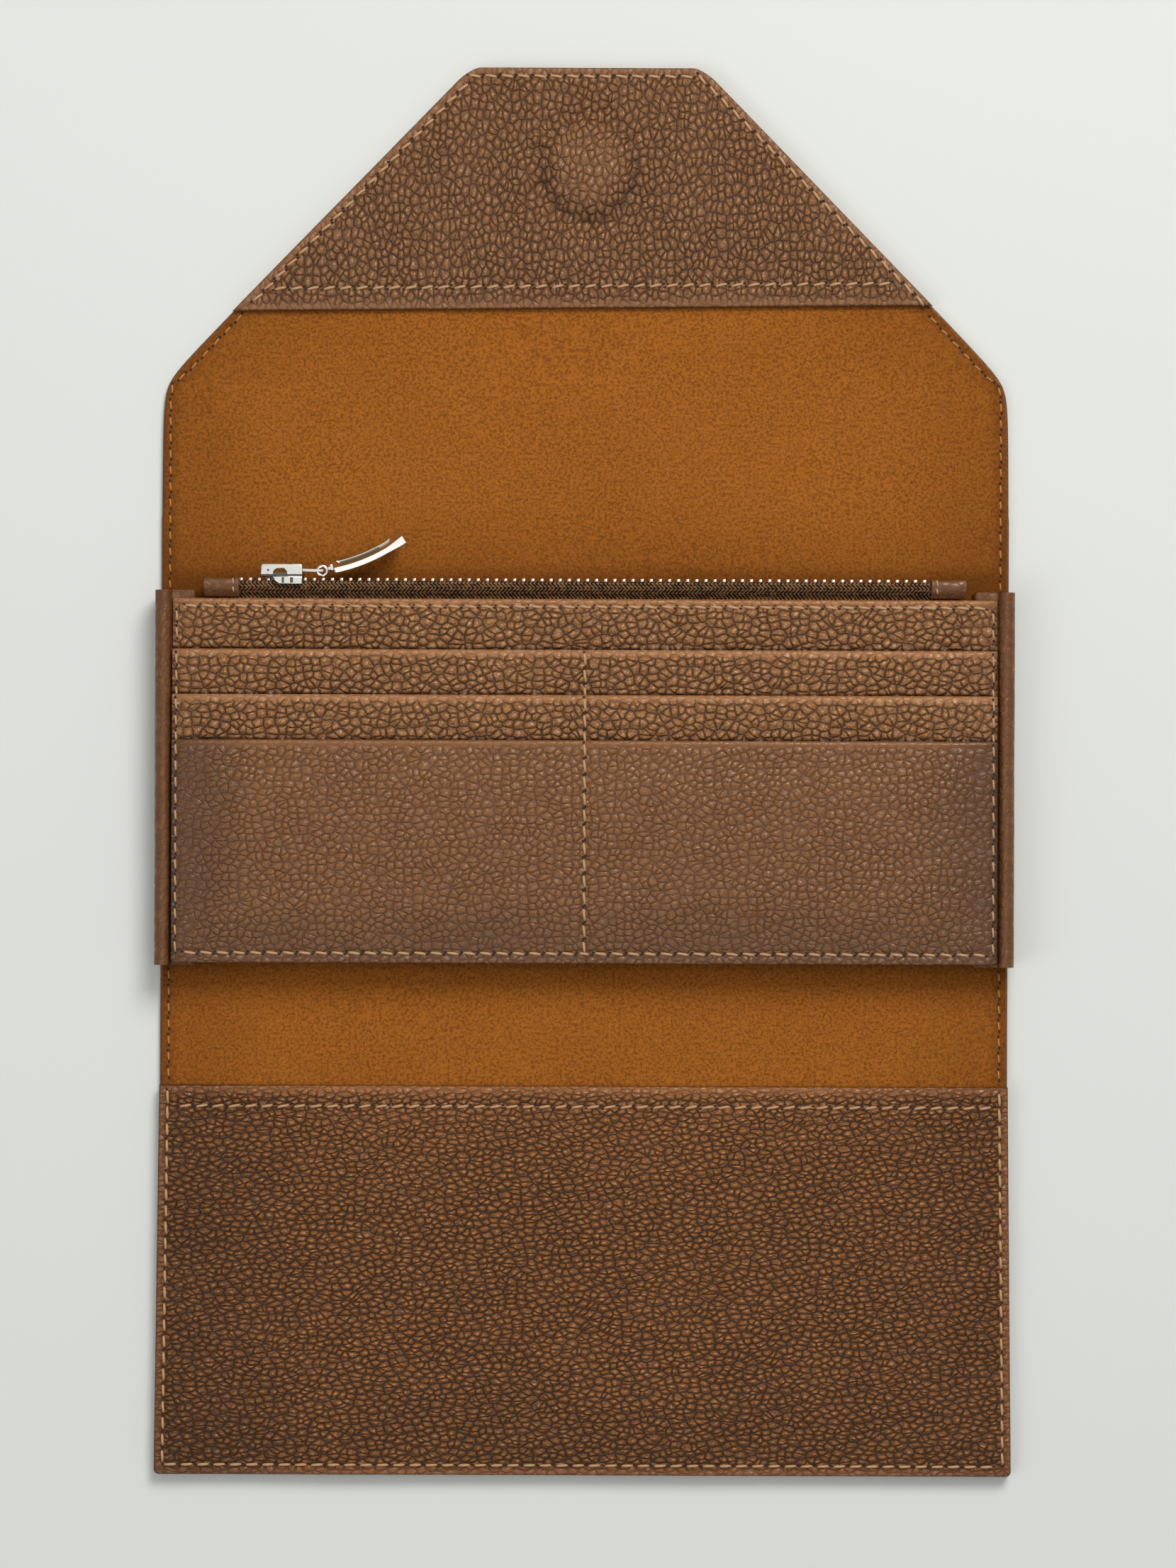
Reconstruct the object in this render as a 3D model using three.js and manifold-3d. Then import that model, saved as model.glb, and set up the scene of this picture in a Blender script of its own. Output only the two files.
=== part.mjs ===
// An envelope wallet, unfolded and lying on its back: one long leather shell with a suede lining,
// a pointed flap at the top, a gusseted card and zip section across the middle, and a pocket at the
// bottom. Millimetres, +X to the right, +Y towards the flap's tip, +Z up out of the table. The origin
// is under the middle of the wallet, on the face that it rests on.
import * as THREE from 'three';
import { mergeVertices } from 'three/addons/utils/BufferGeometryUtils.js';
import Module from 'manifold-3d';

const wasm = await Module();
wasm.setup();

// Overall plan of the shell
const LENGTH = 323.5;
const SHELL_WIDTH = 195;
const POCKET_FLARE = 2;
const TIP_WIDTH = 53.4;
const SHOULDER_FROM_TIP = 72.6;
const TIP_RADIUS = 4;
const SHOULDER_RADIUS = 9;
const POCKET_CORNER_RADIUS = 1.6;
const CORNER_INSET_SHARE = 0.4;

// Sheet thicknesses
const SHELL_THICKNESS = 1.2;
const LINING_THICKNESS = 0.8;
const PANEL_THICKNESS = 1;
const SLOT_THICKNESS = 0.8;
const TAPE_THICKNESS = 0.45;
const EDGE_ROUNDING = 0.25;
const CURVE_STEPS = 5;
const LINING_INSET = 0.45;
const TURNED_EDGE = 0.6;

// Flap facing and its magnet
const FACING_DEPTH = 55.3;
const FACING_HEM = 5.1;
const TURNING_WIDTH = 5;
const MAGNET_FROM_TIP = 23.2;
const MAGNET_RADIUS = 8;
const MAGNET_THICKNESS = 1.5;
const DOME_MARGIN = 4.2;
const DOME_SHOULDER = 0.45;
const DOME_TOP_INSET = 0.6;
const STRIKER_RADIUS = 7;
const STRIKER_THICKNESS = 0.7;
const STRIKER_FROM_END = 68.5;
const CLEARANCE = 0.2;

// Bottom pocket
const POCKET_DEPTH = 89.5;
const POCKET_HEM = 4.8;
const POCKET_GAP = 0.8;

// Card and zip section
const SECTION_TOP = 39.4;
const SECTION_HEIGHT = 83.3;
const PANEL_INSET = 3.3;
const NOTE_GAP = 4.4;
const FIRST_MOUTH_DROP = 11.6;
const MOUTH_PITCH = 10.35;
const SLOT_NAMES = ['card_slot_upper', 'card_slot_middle', 'card_slot_lower'];
const GUSSET_OVERHANG = 1;
const GUSSET_THICKNESS = 1;
const GUSSET_LEG = 5;
const GUSSET_RISE_ABOVE_SECTION = 1.8;
const GUSSET_DROP_BELOW_SECTION = 0.6;
const GUSSET_BEAD_HEIGHT = 2.2;
// The gusset's fold: how far each turn lies outside the panels' edge, and above or below the bead or leg
const GUSSET_START = -0.2;
const GUSSET_GROOVE = [0.95, 0.5];
const GUSSET_RISER = [1.15, -0.6];
const GUSSET_CREST = 2.1;
const GUSSET_FALL = [0.35, -1];
const GUSSET_HEEL = [0.4, 1];
const GUSSET_SOLE = 1.4;
const GUSSET_STEPS = 22;

// Zip
const ZIP_RISE = 3.3;
const ZIP_SPREAD = 2.35;
const TAPE_TUCK = 8.4;
const TAPE_CLEARANCE = 0.025;
// The tape's rise from the panels: height above the section's top edge, and share of the spread there
const TAPE_RISE = [[0.3, 0], [1.4, 0.42], [2.1, 0.89], [2.6, 1]];
const TOOTH_PITCH = 2.08;
const TOOTH_WIDTH = 1.1;
const TOOTH_DEPTH = 2.3;
const TOOTH_HEIGHT = 1.5;
const TOOTH_CORD = 0.5;
const TEETH_PARTING = 0.45;
const TEETH_STAGGER = 0.25;
const TAB_LENGTH = 9.8;
const TAB_THICKNESS = 0.7;
const TAPE_END_IN_TAB = 1;
// The tab's inner face: height above the section's top edge, and distance from the zip's middle plane
const TAB_INSIDE = [[0.2, 0.65], [1.3, 1.75], [2.1, 2.6], [2.6, 2.75], [3.7, 2.75], [4.1, 2.35]];

// Slider, link and pull
const SLIDER_LENGTH = 9.4;
const SLIDER_FROM_TAB = 10;
const SLIDER_GAP = 0.2;
const SLIDER_SIDE_GAP = 0.37;
const SLIDER_PLATE = 0.8;
const SLIDER_FLANGE = 0.6;
const SLIDER_FLANGE_DROP = 1.8;
const FLANGE_SHARE = 0.62;
const WELD = 0.1;
const DIVIDER_SETBACK = 0.8;
const DIVIDER_LENGTH = 3.2;
const DIVIDER_THICKNESS = 0.44;
const INNER_PLATE_WIDTH = 3;
const INNER_PLATE_THICKNESS = 0.9;
const INNER_PLATE_SETBACK = 0.5;
const INNER_PLATE_GAP = 0.4;
const CROWN_WIDTH = 2.6;
const CROWN_HEIGHT = 2;
const CROWN_WALL = 0.7;
const CROWN_POST = 1.4;
const CROWN_SETBACK = 0.1;
const CROWN_NOSE = 2.6;
const LINK_WIRE = 0.5;
const LINK_GAP = 0.3;
const LINK_LENGTH = 6.6;
const LINK_TILT = -1.3;
const EYE_RADIUS = 1.2;
const EYE_HOLE = 0.5;
const NECK_LENGTH = 1.4;
const NECK_THICKNESS = 0.9;
const BAR_LENGTH = 17.6;
const BAR_WIDTH = 4.4;
const BAR_THICKNESS = 1.3;
const BAR_BOW = 1.3;
const BAR_RIM = 0.7;
const BAR_RECESS = 0.7;
const BAR_END_SLOPE = 0.4;
const RECESS_NEAR_END = 1;
const RECESS_FAR_END = 1.6;
const RECESS_BOW_LOSS = 0.25;
const BAR_TILT = 20;
const BAR_ROLL = 25;

// Seams: how far a thread lies from its edge, and its section
const EDGE_SEAM = 2;
const SIDE_SEAM = 0.9;
const BOTTOM_SEAM = 2.3;
const TOP_SEAM = 1.8;
const SEAM_SLANT = 1.4;
const SEAM_END_GAP = 0.3;
const SEAM_MOUTH_GAP = 0.6;
const HEM_SEAM_INSET = 1;
const THREAD_WIDTH = 0.6;
const THREAD_HEIGHT = 0.25;

// Heights of the stacked layers
const LINING_Z = SHELL_THICKNESS;
const FLOOR_Z = LINING_Z + LINING_THICKNESS;
const BACK_PANEL_Z = FLOOR_Z + NOTE_GAP;
const LEG_Z = BACK_PANEL_Z + PANEL_THICKNESS;
const BASE_PANEL_Z = LEG_Z + GUSSET_THICKNESS;
const FIRST_SLOT_Z = BASE_PANEL_Z + PANEL_THICKNESS;
const SECTION_TOP_Z = FIRST_SLOT_Z + SLOT_NAMES.length * SLOT_THICKNESS;
const ZIP_MIDDLE_Z = LEG_Z + GUSSET_THICKNESS / 2;

// Widths and places along the wallet
const POCKET_END_WIDTH = SHELL_WIDTH + POCKET_FLARE;
const PANEL_WIDTH = SHELL_WIDTH - 2 * PANEL_INSET;
const GUSSET_WIDTH = SHELL_WIDTH + 2 * GUSSET_OVERHANG;
const TIP_Y = LENGTH / 2;
const END_Y = -LENGTH / 2;
const SHOULDER_Y = TIP_Y - SHOULDER_FROM_TIP;
const FACING_Y = TIP_Y - FACING_DEPTH;
const POCKET_Y = END_Y + POCKET_DEPTH;
const SECTION_BOTTOM = SECTION_TOP - SECTION_HEIGHT;
const TEETH_Y = SECTION_TOP + ZIP_RISE;
const TEETH_TOP_Y = TEETH_Y + TOOTH_HEIGHT;
const TAB_SPAN = PANEL_WIDTH - 2 * (GUSSET_LEG + CLEARANCE);
const CHAIN_HALF = TAB_SPAN / 2 - TAB_LENGTH;
const PLATE_Y = TEETH_TOP_Y + SLIDER_GAP;
const CROWN_Y = PLATE_Y + SLIDER_PLATE;
const SLIDER_X = -CHAIN_HALF + SLIDER_FROM_TAB;

const LEATHER = 0x7c4a2c;
const EDGE_LEATHER = 0x6d3f25;
const SUEDE = 0xa8601c;
const THREAD = 0xc39a63;
const TAPE = 0x4a3423;
const METAL = 0xc9c8c4;

const wallet = new THREE.Group();

/** A closed solid from a geometry, for joining and cutting. */
function toSolid(geometry) {
  const bare = geometry.clone();
  bare.deleteAttribute('normal');
  bare.deleteAttribute('uv');
  const merged = mergeVertices(bare, 1e-5);
  const vertProperties = new Float32Array(merged.attributes.position.array);
  const triVerts = new Uint32Array(merged.index.array);
  return new wasm.Manifold(new wasm.Mesh({ numProp: 3, vertProperties, triVerts }));
}

/** A geometry from a solid. */
function toGeometry(solid) {
  const mesh = solid.getMesh();
  const geometry = new THREE.BufferGeometry();
  geometry.setAttribute('position', new THREE.BufferAttribute(mesh.vertProperties, 3));
  geometry.setIndex(new THREE.BufferAttribute(mesh.triVerts, 1));
  geometry.computeVertexNormals();
  return geometry;
}

function join(...geometries) {
  return toGeometry(geometries.map(toSolid).reduce((whole, piece) => whole.add(piece)));
}

function cut(geometry, ...tools) {
  return toGeometry(tools.map(toSolid).reduce((whole, tool) => whole.subtract(tool), toSolid(geometry)));
}

function addPiece(name, geometry, colour, roughness = 0.6, metalness = 0) {
  const material = new THREE.MeshStandardMaterial({ color: colour, roughness, metalness });
  const mesh = new THREE.Mesh(geometry, material);
  mesh.name = name;
  wallet.add(mesh);
  return mesh;
}

/** A closed shape through corners [x, y, radius], each corner rounded by its radius. */
function roundedShape(corners) {
  const shape = new THREE.Shape();
  corners.forEach(([x, y, radius = 0], i) => {
    const here = new THREE.Vector2(x, y);
    const before = new THREE.Vector2(...corners.at(i - 1).slice(0, 2));
    const after = new THREE.Vector2(...corners[(i + 1) % corners.length].slice(0, 2));
    const enter = here.clone().add(before.sub(here).setLength(radius));
    const leave = here.clone().add(after.sub(here).setLength(radius));
    if (i === 0) shape.moveTo(enter.x, enter.y);
    else shape.lineTo(enter.x, enter.y);
    if (radius > 0) shape.quadraticCurveTo(x, y, leave.x, leave.y);
  });
  shape.closePath();
  return shape;
}

/** A flat sheet of that outline between two heights, with its edges softened unless the rounding is 0. */
function sheet(shape, bottom, thickness, rounding = EDGE_ROUNDING) {
  const geometry = new THREE.ExtrudeGeometry(shape, {
    depth: thickness - 2 * rounding,
    bevelEnabled: rounding > 0,
    bevelThickness: rounding,
    bevelSize: rounding,
    bevelOffset: -rounding,
    bevelSegments: 1,
    curveSegments: CURVE_STEPS,
  });
  return geometry.translate(0, 0, bottom + rounding);
}

function box(x0, x1, y0, y1, z0, z1) {
  const geometry = new THREE.BoxGeometry(x1 - x0, y1 - y0, z1 - z0);
  return geometry.translate((x0 + x1) / 2, (y0 + y1) / 2, (z0 + z1) / 2);
}

function disc(radius, x, y, z0, z1, segments = 32) {
  const geometry = new THREE.CylinderGeometry(radius, radius, z1 - z0, segments);
  return geometry.rotateX(Math.PI / 2).translate(x, y, (z0 + z1) / 2);
}

/** Half the shell's width at a height along the wallet. */
function halfWidthAt(y) {
  if (y > SHOULDER_Y) {
    const share = (y - SHOULDER_Y) / SHOULDER_FROM_TIP;
    return THREE.MathUtils.lerp(SHELL_WIDTH, TIP_WIDTH, share) / 2;
  }
  if (y < POCKET_Y) {
    const share = (POCKET_Y - y) / POCKET_DEPTH;
    return THREE.MathUtils.lerp(SHELL_WIDTH, POCKET_END_WIDTH, share) / 2;
  }
  return SHELL_WIDTH / 2;
}

/** Corners down the shell's right side between two heights, then up its left side, taken in by inset. */
function bandCorners(top, bottom, inset = 0) {
  const slope = Math.hypot(1, (SHELL_WIDTH - TIP_WIDTH) / 2 / SHOULDER_FROM_TIP);
  const right = [[halfWidthAt(top) - (top > SHOULDER_Y ? inset * slope : inset), top, 0]];
  if (top === TIP_Y) right[0] = [TIP_WIDTH / 2 - inset * CORNER_INSET_SHARE, TIP_Y - inset, TIP_RADIUS];
  if (top > SHOULDER_Y && bottom < SHOULDER_Y) {
    right.push([SHELL_WIDTH / 2 - inset, SHOULDER_Y - inset * CORNER_INSET_SHARE, SHOULDER_RADIUS]);
  }
  if (top > POCKET_Y && bottom < POCKET_Y) right.push([SHELL_WIDTH / 2 - inset, POCKET_Y, 0]);
  if (bottom === END_Y) right.push([POCKET_END_WIDTH / 2 - inset, END_Y + inset, POCKET_CORNER_RADIUS]);
  else right.push([halfWidthAt(bottom) - (bottom > SHOULDER_Y ? inset * slope : inset), bottom, 0]);
  const left = right.map(([x, y, radius]) => [-x, y, radius]).reverse();
  return [...right, ...left];
}

function band(top, bottom, inset = 0) {
  return roundedShape(bandCorners(top, bottom, inset));
}

function addShell() {
  const strikerY = END_Y + STRIKER_FROM_END;
  const strikerBottom = SHELL_THICKNESS - STRIKER_THICKNESS;
  const leather = sheet(band(TIP_Y, END_Y), 0, SHELL_THICKNESS);
  const recess = disc(STRIKER_RADIUS + CLEARANCE, 0, strikerY, strikerBottom, FLOOR_Z);
  addPiece('outer_shell', cut(leather, recess), EDGE_LEATHER, 0.55);
  const striker = disc(STRIKER_RADIUS, 0, strikerY, strikerBottom, SHELL_THICKNESS);
  addPiece('striker_plate', striker, METAL, 0.35, 0.9);
  addPiece('lining', sheet(band(TIP_Y, END_Y, LINING_INSET), LINING_Z, LINING_THICKNESS, 0), SUEDE, 0.95);
}

function addFlapFacing() {
  const magnetY = TIP_Y - MAGNET_FROM_TIP;
  const top = FLOOR_Z + PANEL_THICKNESS + TURNED_EDGE;
  const leather = sheet(band(TIP_Y, FACING_Y), FLOOR_Z, PANEL_THICKNESS + TURNED_EDGE, EDGE_ROUNDING * 2);
  const hollowOutline = band(TIP_Y - TURNING_WIDTH, FACING_Y + FACING_HEM, TURNING_WIDTH);
  const hollow = sheet(hollowOutline, FLOOR_Z - 1, 1 + TURNED_EDGE, 0);
  const magnetTop = FLOOR_Z + MAGNET_THICKNESS;
  const domeTop = magnetTop + CLEARANCE + PANEL_THICKNESS;
  const domeProfile = [
    [0, top - PANEL_THICKNESS / 2],
    [MAGNET_RADIUS + DOME_MARGIN, top - PANEL_THICKNESS / 2],
    [MAGNET_RADIUS + DOME_MARGIN, top],
    [MAGNET_RADIUS + DOME_MARGIN * DOME_SHOULDER, top + (domeTop - top) * DOME_SHOULDER],
    [MAGNET_RADIUS - DOME_TOP_INSET, domeTop],
    [0, domeTop],
  ];
  const dome = new THREE.LatheGeometry(domeProfile.map((p) => new THREE.Vector2(...p)), 32);
  dome.rotateX(Math.PI / 2).translate(0, magnetY, 0);
  const seat = disc(MAGNET_RADIUS + CLEARANCE, 0, magnetY, FLOOR_Z - 1, magnetTop + CLEARANCE);
  addPiece('flap_facing', cut(join(leather, dome), hollow, seat), LEATHER, 0.5);
  addPiece('flap_magnet', disc(MAGNET_RADIUS, 0, magnetY, FLOOR_Z, magnetTop), METAL, 0.35, 0.9);
}

function addPocket() {
  const leather = sheet(band(POCKET_Y, END_Y), FLOOR_Z, PANEL_THICKNESS + POCKET_GAP, EDGE_ROUNDING * 2);
  const half = SHELL_WIDTH / 2 - TURNING_WIDTH;
  const hollow = box(-half, half, END_Y + TURNING_WIDTH, POCKET_Y + 1, FLOOR_Z - 1, FLOOR_Z + POCKET_GAP);
  addPiece('pocket_panel', cut(leather, hollow), LEATHER, 0.5);
}

/** The gusset's section: under the card panels, up into a soft bead, round and back along the lining. */
function gussetShape() {
  const seam = PANEL_WIDTH / 2;
  const out = GUSSET_WIDTH / 2;
  const t = GUSSET_THICKNESS / 2;
  const legZ = LEG_Z + t;
  const floorZ = FLOOR_Z + t;
  const beadZ = legZ + GUSSET_BEAD_HEIGHT;
  const middle = new THREE.CatmullRomCurve3([
    new THREE.Vector3(seam + GUSSET_START, legZ, 0),
    new THREE.Vector3(seam + GUSSET_GROOVE[0], legZ + GUSSET_GROOVE[1], 0),
    new THREE.Vector3(seam + GUSSET_RISER[0], beadZ + GUSSET_RISER[1], 0),
    new THREE.Vector3(seam + GUSSET_CREST, beadZ, 0),
    new THREE.Vector3(out - t - GUSSET_FALL[0], beadZ + GUSSET_FALL[1], 0),
    new THREE.Vector3(out - t, (beadZ + floorZ) / 2, 0),
    new THREE.Vector3(out - t - GUSSET_HEEL[0], floorZ + GUSSET_HEEL[1], 0),
    new THREE.Vector3(seam + GUSSET_SOLE, floorZ, 0),
  ]);
  const points = middle.getPoints(GUSSET_STEPS);
  const line = [new THREE.Vector3(seam - GUSSET_LEG, legZ, 0), ...points];
  line.push(new THREE.Vector3(seam - GUSSET_LEG, floorZ, 0));
  const upper = [];
  const lower = [];
  line.forEach((point, i) => {
    const before = line[Math.max(i - 1, 0)];
    const after = line[Math.min(i + 1, line.length - 1)];
    const along = after.clone().sub(before).normalize();
    const first = i <= 1 || i >= line.length - 2;
    const normal = first
      ? new THREE.Vector2(0, i <= 1 ? 1 : -1)
      : new THREE.Vector2(-along.y, along.x);
    upper.push(new THREE.Vector2(point.x + normal.x * t, point.y + normal.y * t));
    lower.push(new THREE.Vector2(point.x - normal.x * t, point.y - normal.y * t));
  });
  return new THREE.Shape([...upper, ...lower.reverse()]);
}

function addGussets() {
  const top = SECTION_TOP + GUSSET_RISE_ABOVE_SECTION;
  const bottom = SECTION_BOTTOM - GUSSET_DROP_BELOW_SECTION;
  const extruded = new THREE.ExtrudeGeometry(gussetShape(), { depth: top - bottom, bevelEnabled: false });
  const right = extruded.rotateX(Math.PI / 2).translate(0, top, 0);
  const left = right.clone().rotateZ(Math.PI).translate(0, top + bottom, 0);
  addPiece('gusset_right', right, LEATHER, 0.55);
  addPiece('gusset_left', left, LEATHER, 0.55);
}

function addCardPanels() {
  const half = PANEL_WIDTH / 2;
  const panel = (top, z, thickness) => {
    const corners = [[half, top], [half, SECTION_BOTTOM], [-half, SECTION_BOTTOM], [-half, top]];
    return sheet(roundedShape(corners), z, thickness);
  };
  addPiece('zip_pocket_back', panel(SECTION_TOP, BACK_PANEL_Z, PANEL_THICKNESS), LEATHER, 0.55);
  addPiece('card_base_panel', panel(SECTION_TOP, BASE_PANEL_Z, PANEL_THICKNESS), LEATHER, 0.5);
  SLOT_NAMES.forEach((name, i) => {
    const mouth = SECTION_TOP - FIRST_MOUTH_DROP - i * MOUTH_PITCH;
    addPiece(name, panel(mouth, FIRST_SLOT_Z + i * SLOT_THICKNESS, SLOT_THICKNESS), LEATHER, 0.5);
  });
}

/** Points [y, distance from the zip's middle plane] down the middle of one tape. */
function tapeLine() {
  const near = TAPE_THICKNESS / 2 + TAPE_CLEARANCE;
  const spread = (share) => THREE.MathUtils.lerp(near, ZIP_SPREAD, share);
  const rise = TAPE_RISE.map(([y, share]) => [SECTION_TOP + y, spread(share)]);
  return [[SECTION_TOP - TAPE_TUCK, near], ...rise, [TEETH_Y, ZIP_SPREAD]];
}

/** Moves a section drawn in (y, z) and extruded from 0 to its length, so that it runs along X from x0. */
function alongX(geometry, x0) {
  const turn = new THREE.Matrix4().makeBasis(
    new THREE.Vector3(0, 1, 0),
    new THREE.Vector3(0, 0, 1),
    new THREE.Vector3(1, 0, 0),
  );
  return geometry.applyMatrix4(turn).translate(x0, 0, 0);
}

function addZipTapes() {
  const t = TAPE_THICKNESS / 2;
  const length = TAB_SPAN - 2 * TAPE_END_IN_TAB;
  for (const [name, side] of [['zip_tape_front', 1], ['zip_tape_back', -1]]) {
    const line = tapeLine();
    const outer = [];
    const inner = [];
    line.forEach(([y, z], i) => {
      const [y0, z0] = line[Math.max(i - 1, 0)];
      const [y1, z1] = line[Math.min(i + 1, line.length - 1)];
      const flat = i === 0 || i === line.length - 1;
      const along = new THREE.Vector2(flat ? 1 : y1 - y0, flat ? 0 : z1 - z0).normalize();
      outer.push(new THREE.Vector2(y - along.y * t, ZIP_MIDDLE_Z + side * (z + along.x * t)));
      inner.push(new THREE.Vector2(y + along.y * t, ZIP_MIDDLE_Z + side * (z - along.x * t)));
    });
    const shape = new THREE.Shape([...outer, ...inner.reverse()]);
    const strip = new THREE.ExtrudeGeometry(shape, { depth: length, bevelEnabled: false });
    addPiece(name, alongX(strip, -length / 2), TAPE, 0.9);
  }
}

/** Each row of teeth, clamped on the corded edge of its tape. */
function addZipTeeth() {
  const count = Math.floor((2 * CHAIN_HALF - TOOTH_WIDTH) / TOOTH_PITCH);
  const first = (-(count - 1) * TOOTH_PITCH) / 2;
  const rows = [['zip_teeth_front', 1, -TEETH_STAGGER], ['zip_teeth_back', -1, TEETH_STAGGER]];
  for (const [name, side, shift] of rows) {
    const teeth = [];
    for (let i = 0; i < count; i += 1) {
      const x = first + (i + shift) * TOOTH_PITCH;
      const inner = ZIP_MIDDLE_Z + side * TEETH_PARTING;
      const outer = inner + side * TOOTH_DEPTH;
      const low = Math.min(inner, outer);
      const high = Math.max(inner, outer);
      teeth.push(box(x - TOOTH_WIDTH / 2, x + TOOTH_WIDTH / 2, TEETH_Y, TEETH_TOP_Y, low, high));
    }
    const cordZ = ZIP_MIDDLE_Z + side * ZIP_SPREAD;
    const cordHalf = TAPE_THICKNESS / 2;
    const lastX = first + (count - 1 + shift) * TOOTH_PITCH;
    const cord = box(
      first + shift * TOOTH_PITCH, lastX,
      TEETH_Y, TEETH_Y + TOOTH_CORD,
      cordZ - cordHalf, cordZ + cordHalf,
    );
    addPiece(name, join(cord, ...teeth), METAL, 0.3, 0.95);
  }
}

/** The leather tab folded over each end of the zip. */
function addZipTabs() {
  const inside = TAB_INSIDE.map(([y, z]) => [SECTION_TOP + y, z]);
  const outside = inside.map(([y, z], i) => {
    const last = i === inside.length - 1;
    return [last ? y + TAB_THICKNESS : y, last ? z : z + TAB_THICKNESS];
  });
  const place = ([y, z]) => new THREE.Vector2(y, ZIP_MIDDLE_Z + z);
  const mirrored = ([y, z]) => new THREE.Vector2(y, ZIP_MIDDLE_Z - z);
  const shape = new THREE.Shape([
    ...outside.map(place),
    ...outside.map(mirrored).reverse(),
    ...inside.map(mirrored),
    ...inside.map(place).reverse(),
  ]);
  for (const [name, x0] of [['zip_tab_left', -TAB_SPAN / 2], ['zip_tab_right', TAB_SPAN / 2 - TAB_LENGTH]]) {
    const fold = new THREE.ExtrudeGeometry(shape, { depth: TAB_LENGTH, bevelEnabled: false });
    addPiece(name, alongX(fold, x0), LEATHER, 0.5);
  }
}

function addSlider() {
  const half = SLIDER_LENGTH / 2;
  const left = SLIDER_X - half;
  const right = SLIDER_X + half;
  const flangeInside = ZIP_SPREAD + TAPE_THICKNESS / 2 + SLIDER_SIDE_GAP;
  const plateHalf = flangeInside + SLIDER_FLANGE;
  const flangeLeft = right - SLIDER_LENGTH * FLANGE_SHARE;
  const middle = ZIP_MIDDLE_Z;
  const plate = box(left, right, PLATE_Y, CROWN_Y, middle - plateHalf, middle + plateHalf);
  const flanges = [1, -1].map((side) => {
    const inner = middle + side * flangeInside;
    const outer = middle + side * plateHalf;
    const low = Math.min(inner, outer);
    const high = Math.max(inner, outer);
    return box(flangeLeft, right, PLATE_Y - SLIDER_FLANGE_DROP, PLATE_Y + WELD, low, high);
  });
  const dividerHalf = DIVIDER_THICKNESS / 2;
  const innerTop = TEETH_Y - INNER_PLATE_GAP;
  const innerBottom = innerTop - INNER_PLATE_THICKNESS;
  const divider = box(
    left + DIVIDER_SETBACK, left + DIVIDER_SETBACK + DIVIDER_LENGTH,
    innerTop - WELD, PLATE_Y + WELD,
    middle - dividerHalf, middle + dividerHalf,
  );
  const innerHalf = INNER_PLATE_WIDTH / 2;
  const innerPlate = box(
    left + INNER_PLATE_SETBACK, right - INNER_PLATE_SETBACK,
    innerBottom, innerTop,
    middle - innerHalf, middle + innerHalf,
  );
  const crownHalf = CROWN_WIDTH / 2;
  const crown = box(
    left + CROWN_SETBACK, right - CROWN_SETBACK,
    CROWN_Y - WELD, CROWN_Y + CROWN_HEIGHT,
    middle - crownHalf, middle + crownHalf,
  );
  const window = box(
    left + CROWN_NOSE, right - CROWN_POST,
    CROWN_Y, CROWN_Y + CROWN_HEIGHT - CROWN_WALL,
    middle - crownHalf - WELD, middle + crownHalf + WELD,
  );
  addPiece('zip_slider', cut(join(plate, ...flanges, divider, innerPlate, crown), window), METAL, 0.25, 1);
}

/** Where the link hangs in the crown, and where the pull hangs on the link. */
function pullPivots() {
  const crownPivot = new THREE.Vector3(
    SLIDER_X + SLIDER_LENGTH / 2 - CROWN_POST - LINK_WIRE - LINK_GAP,
    CROWN_Y + (CROWN_HEIGHT - CROWN_WALL) / 2,
    ZIP_MIDDLE_Z,
  );
  const tilt = THREE.MathUtils.degToRad(LINK_TILT);
  const reach = new THREE.Vector3(Math.cos(tilt), Math.sin(tilt), 0).multiplyScalar(LINK_LENGTH);
  return { crownPivot, eyePivot: crownPivot.clone().add(reach) };
}

/** The wire link, a closed loop round the crown's bridge and through the pull's eye. */
function addLink() {
  const { crownPivot } = pullPivots();
  const wire = LINK_WIRE;
  const insideHalf = CROWN_WIDTH / 2 + CLEARANCE;
  const outsideHalf = insideHalf + wire;
  const loop = box(-wire / 2, LINK_LENGTH + wire / 2, -wire / 2, wire / 2, -outsideHalf, outsideHalf);
  const eye = box(wire / 2, LINK_LENGTH - wire / 2, -wire, wire, -insideHalf, insideHalf);
  const link = cut(loop, eye);
  link.rotateZ(THREE.MathUtils.degToRad(LINK_TILT)).translate(crownPivot.x, crownPivot.y, crownPivot.z);
  addPiece('zip_pull_link', link, METAL, 0.25, 1);
}

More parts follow.
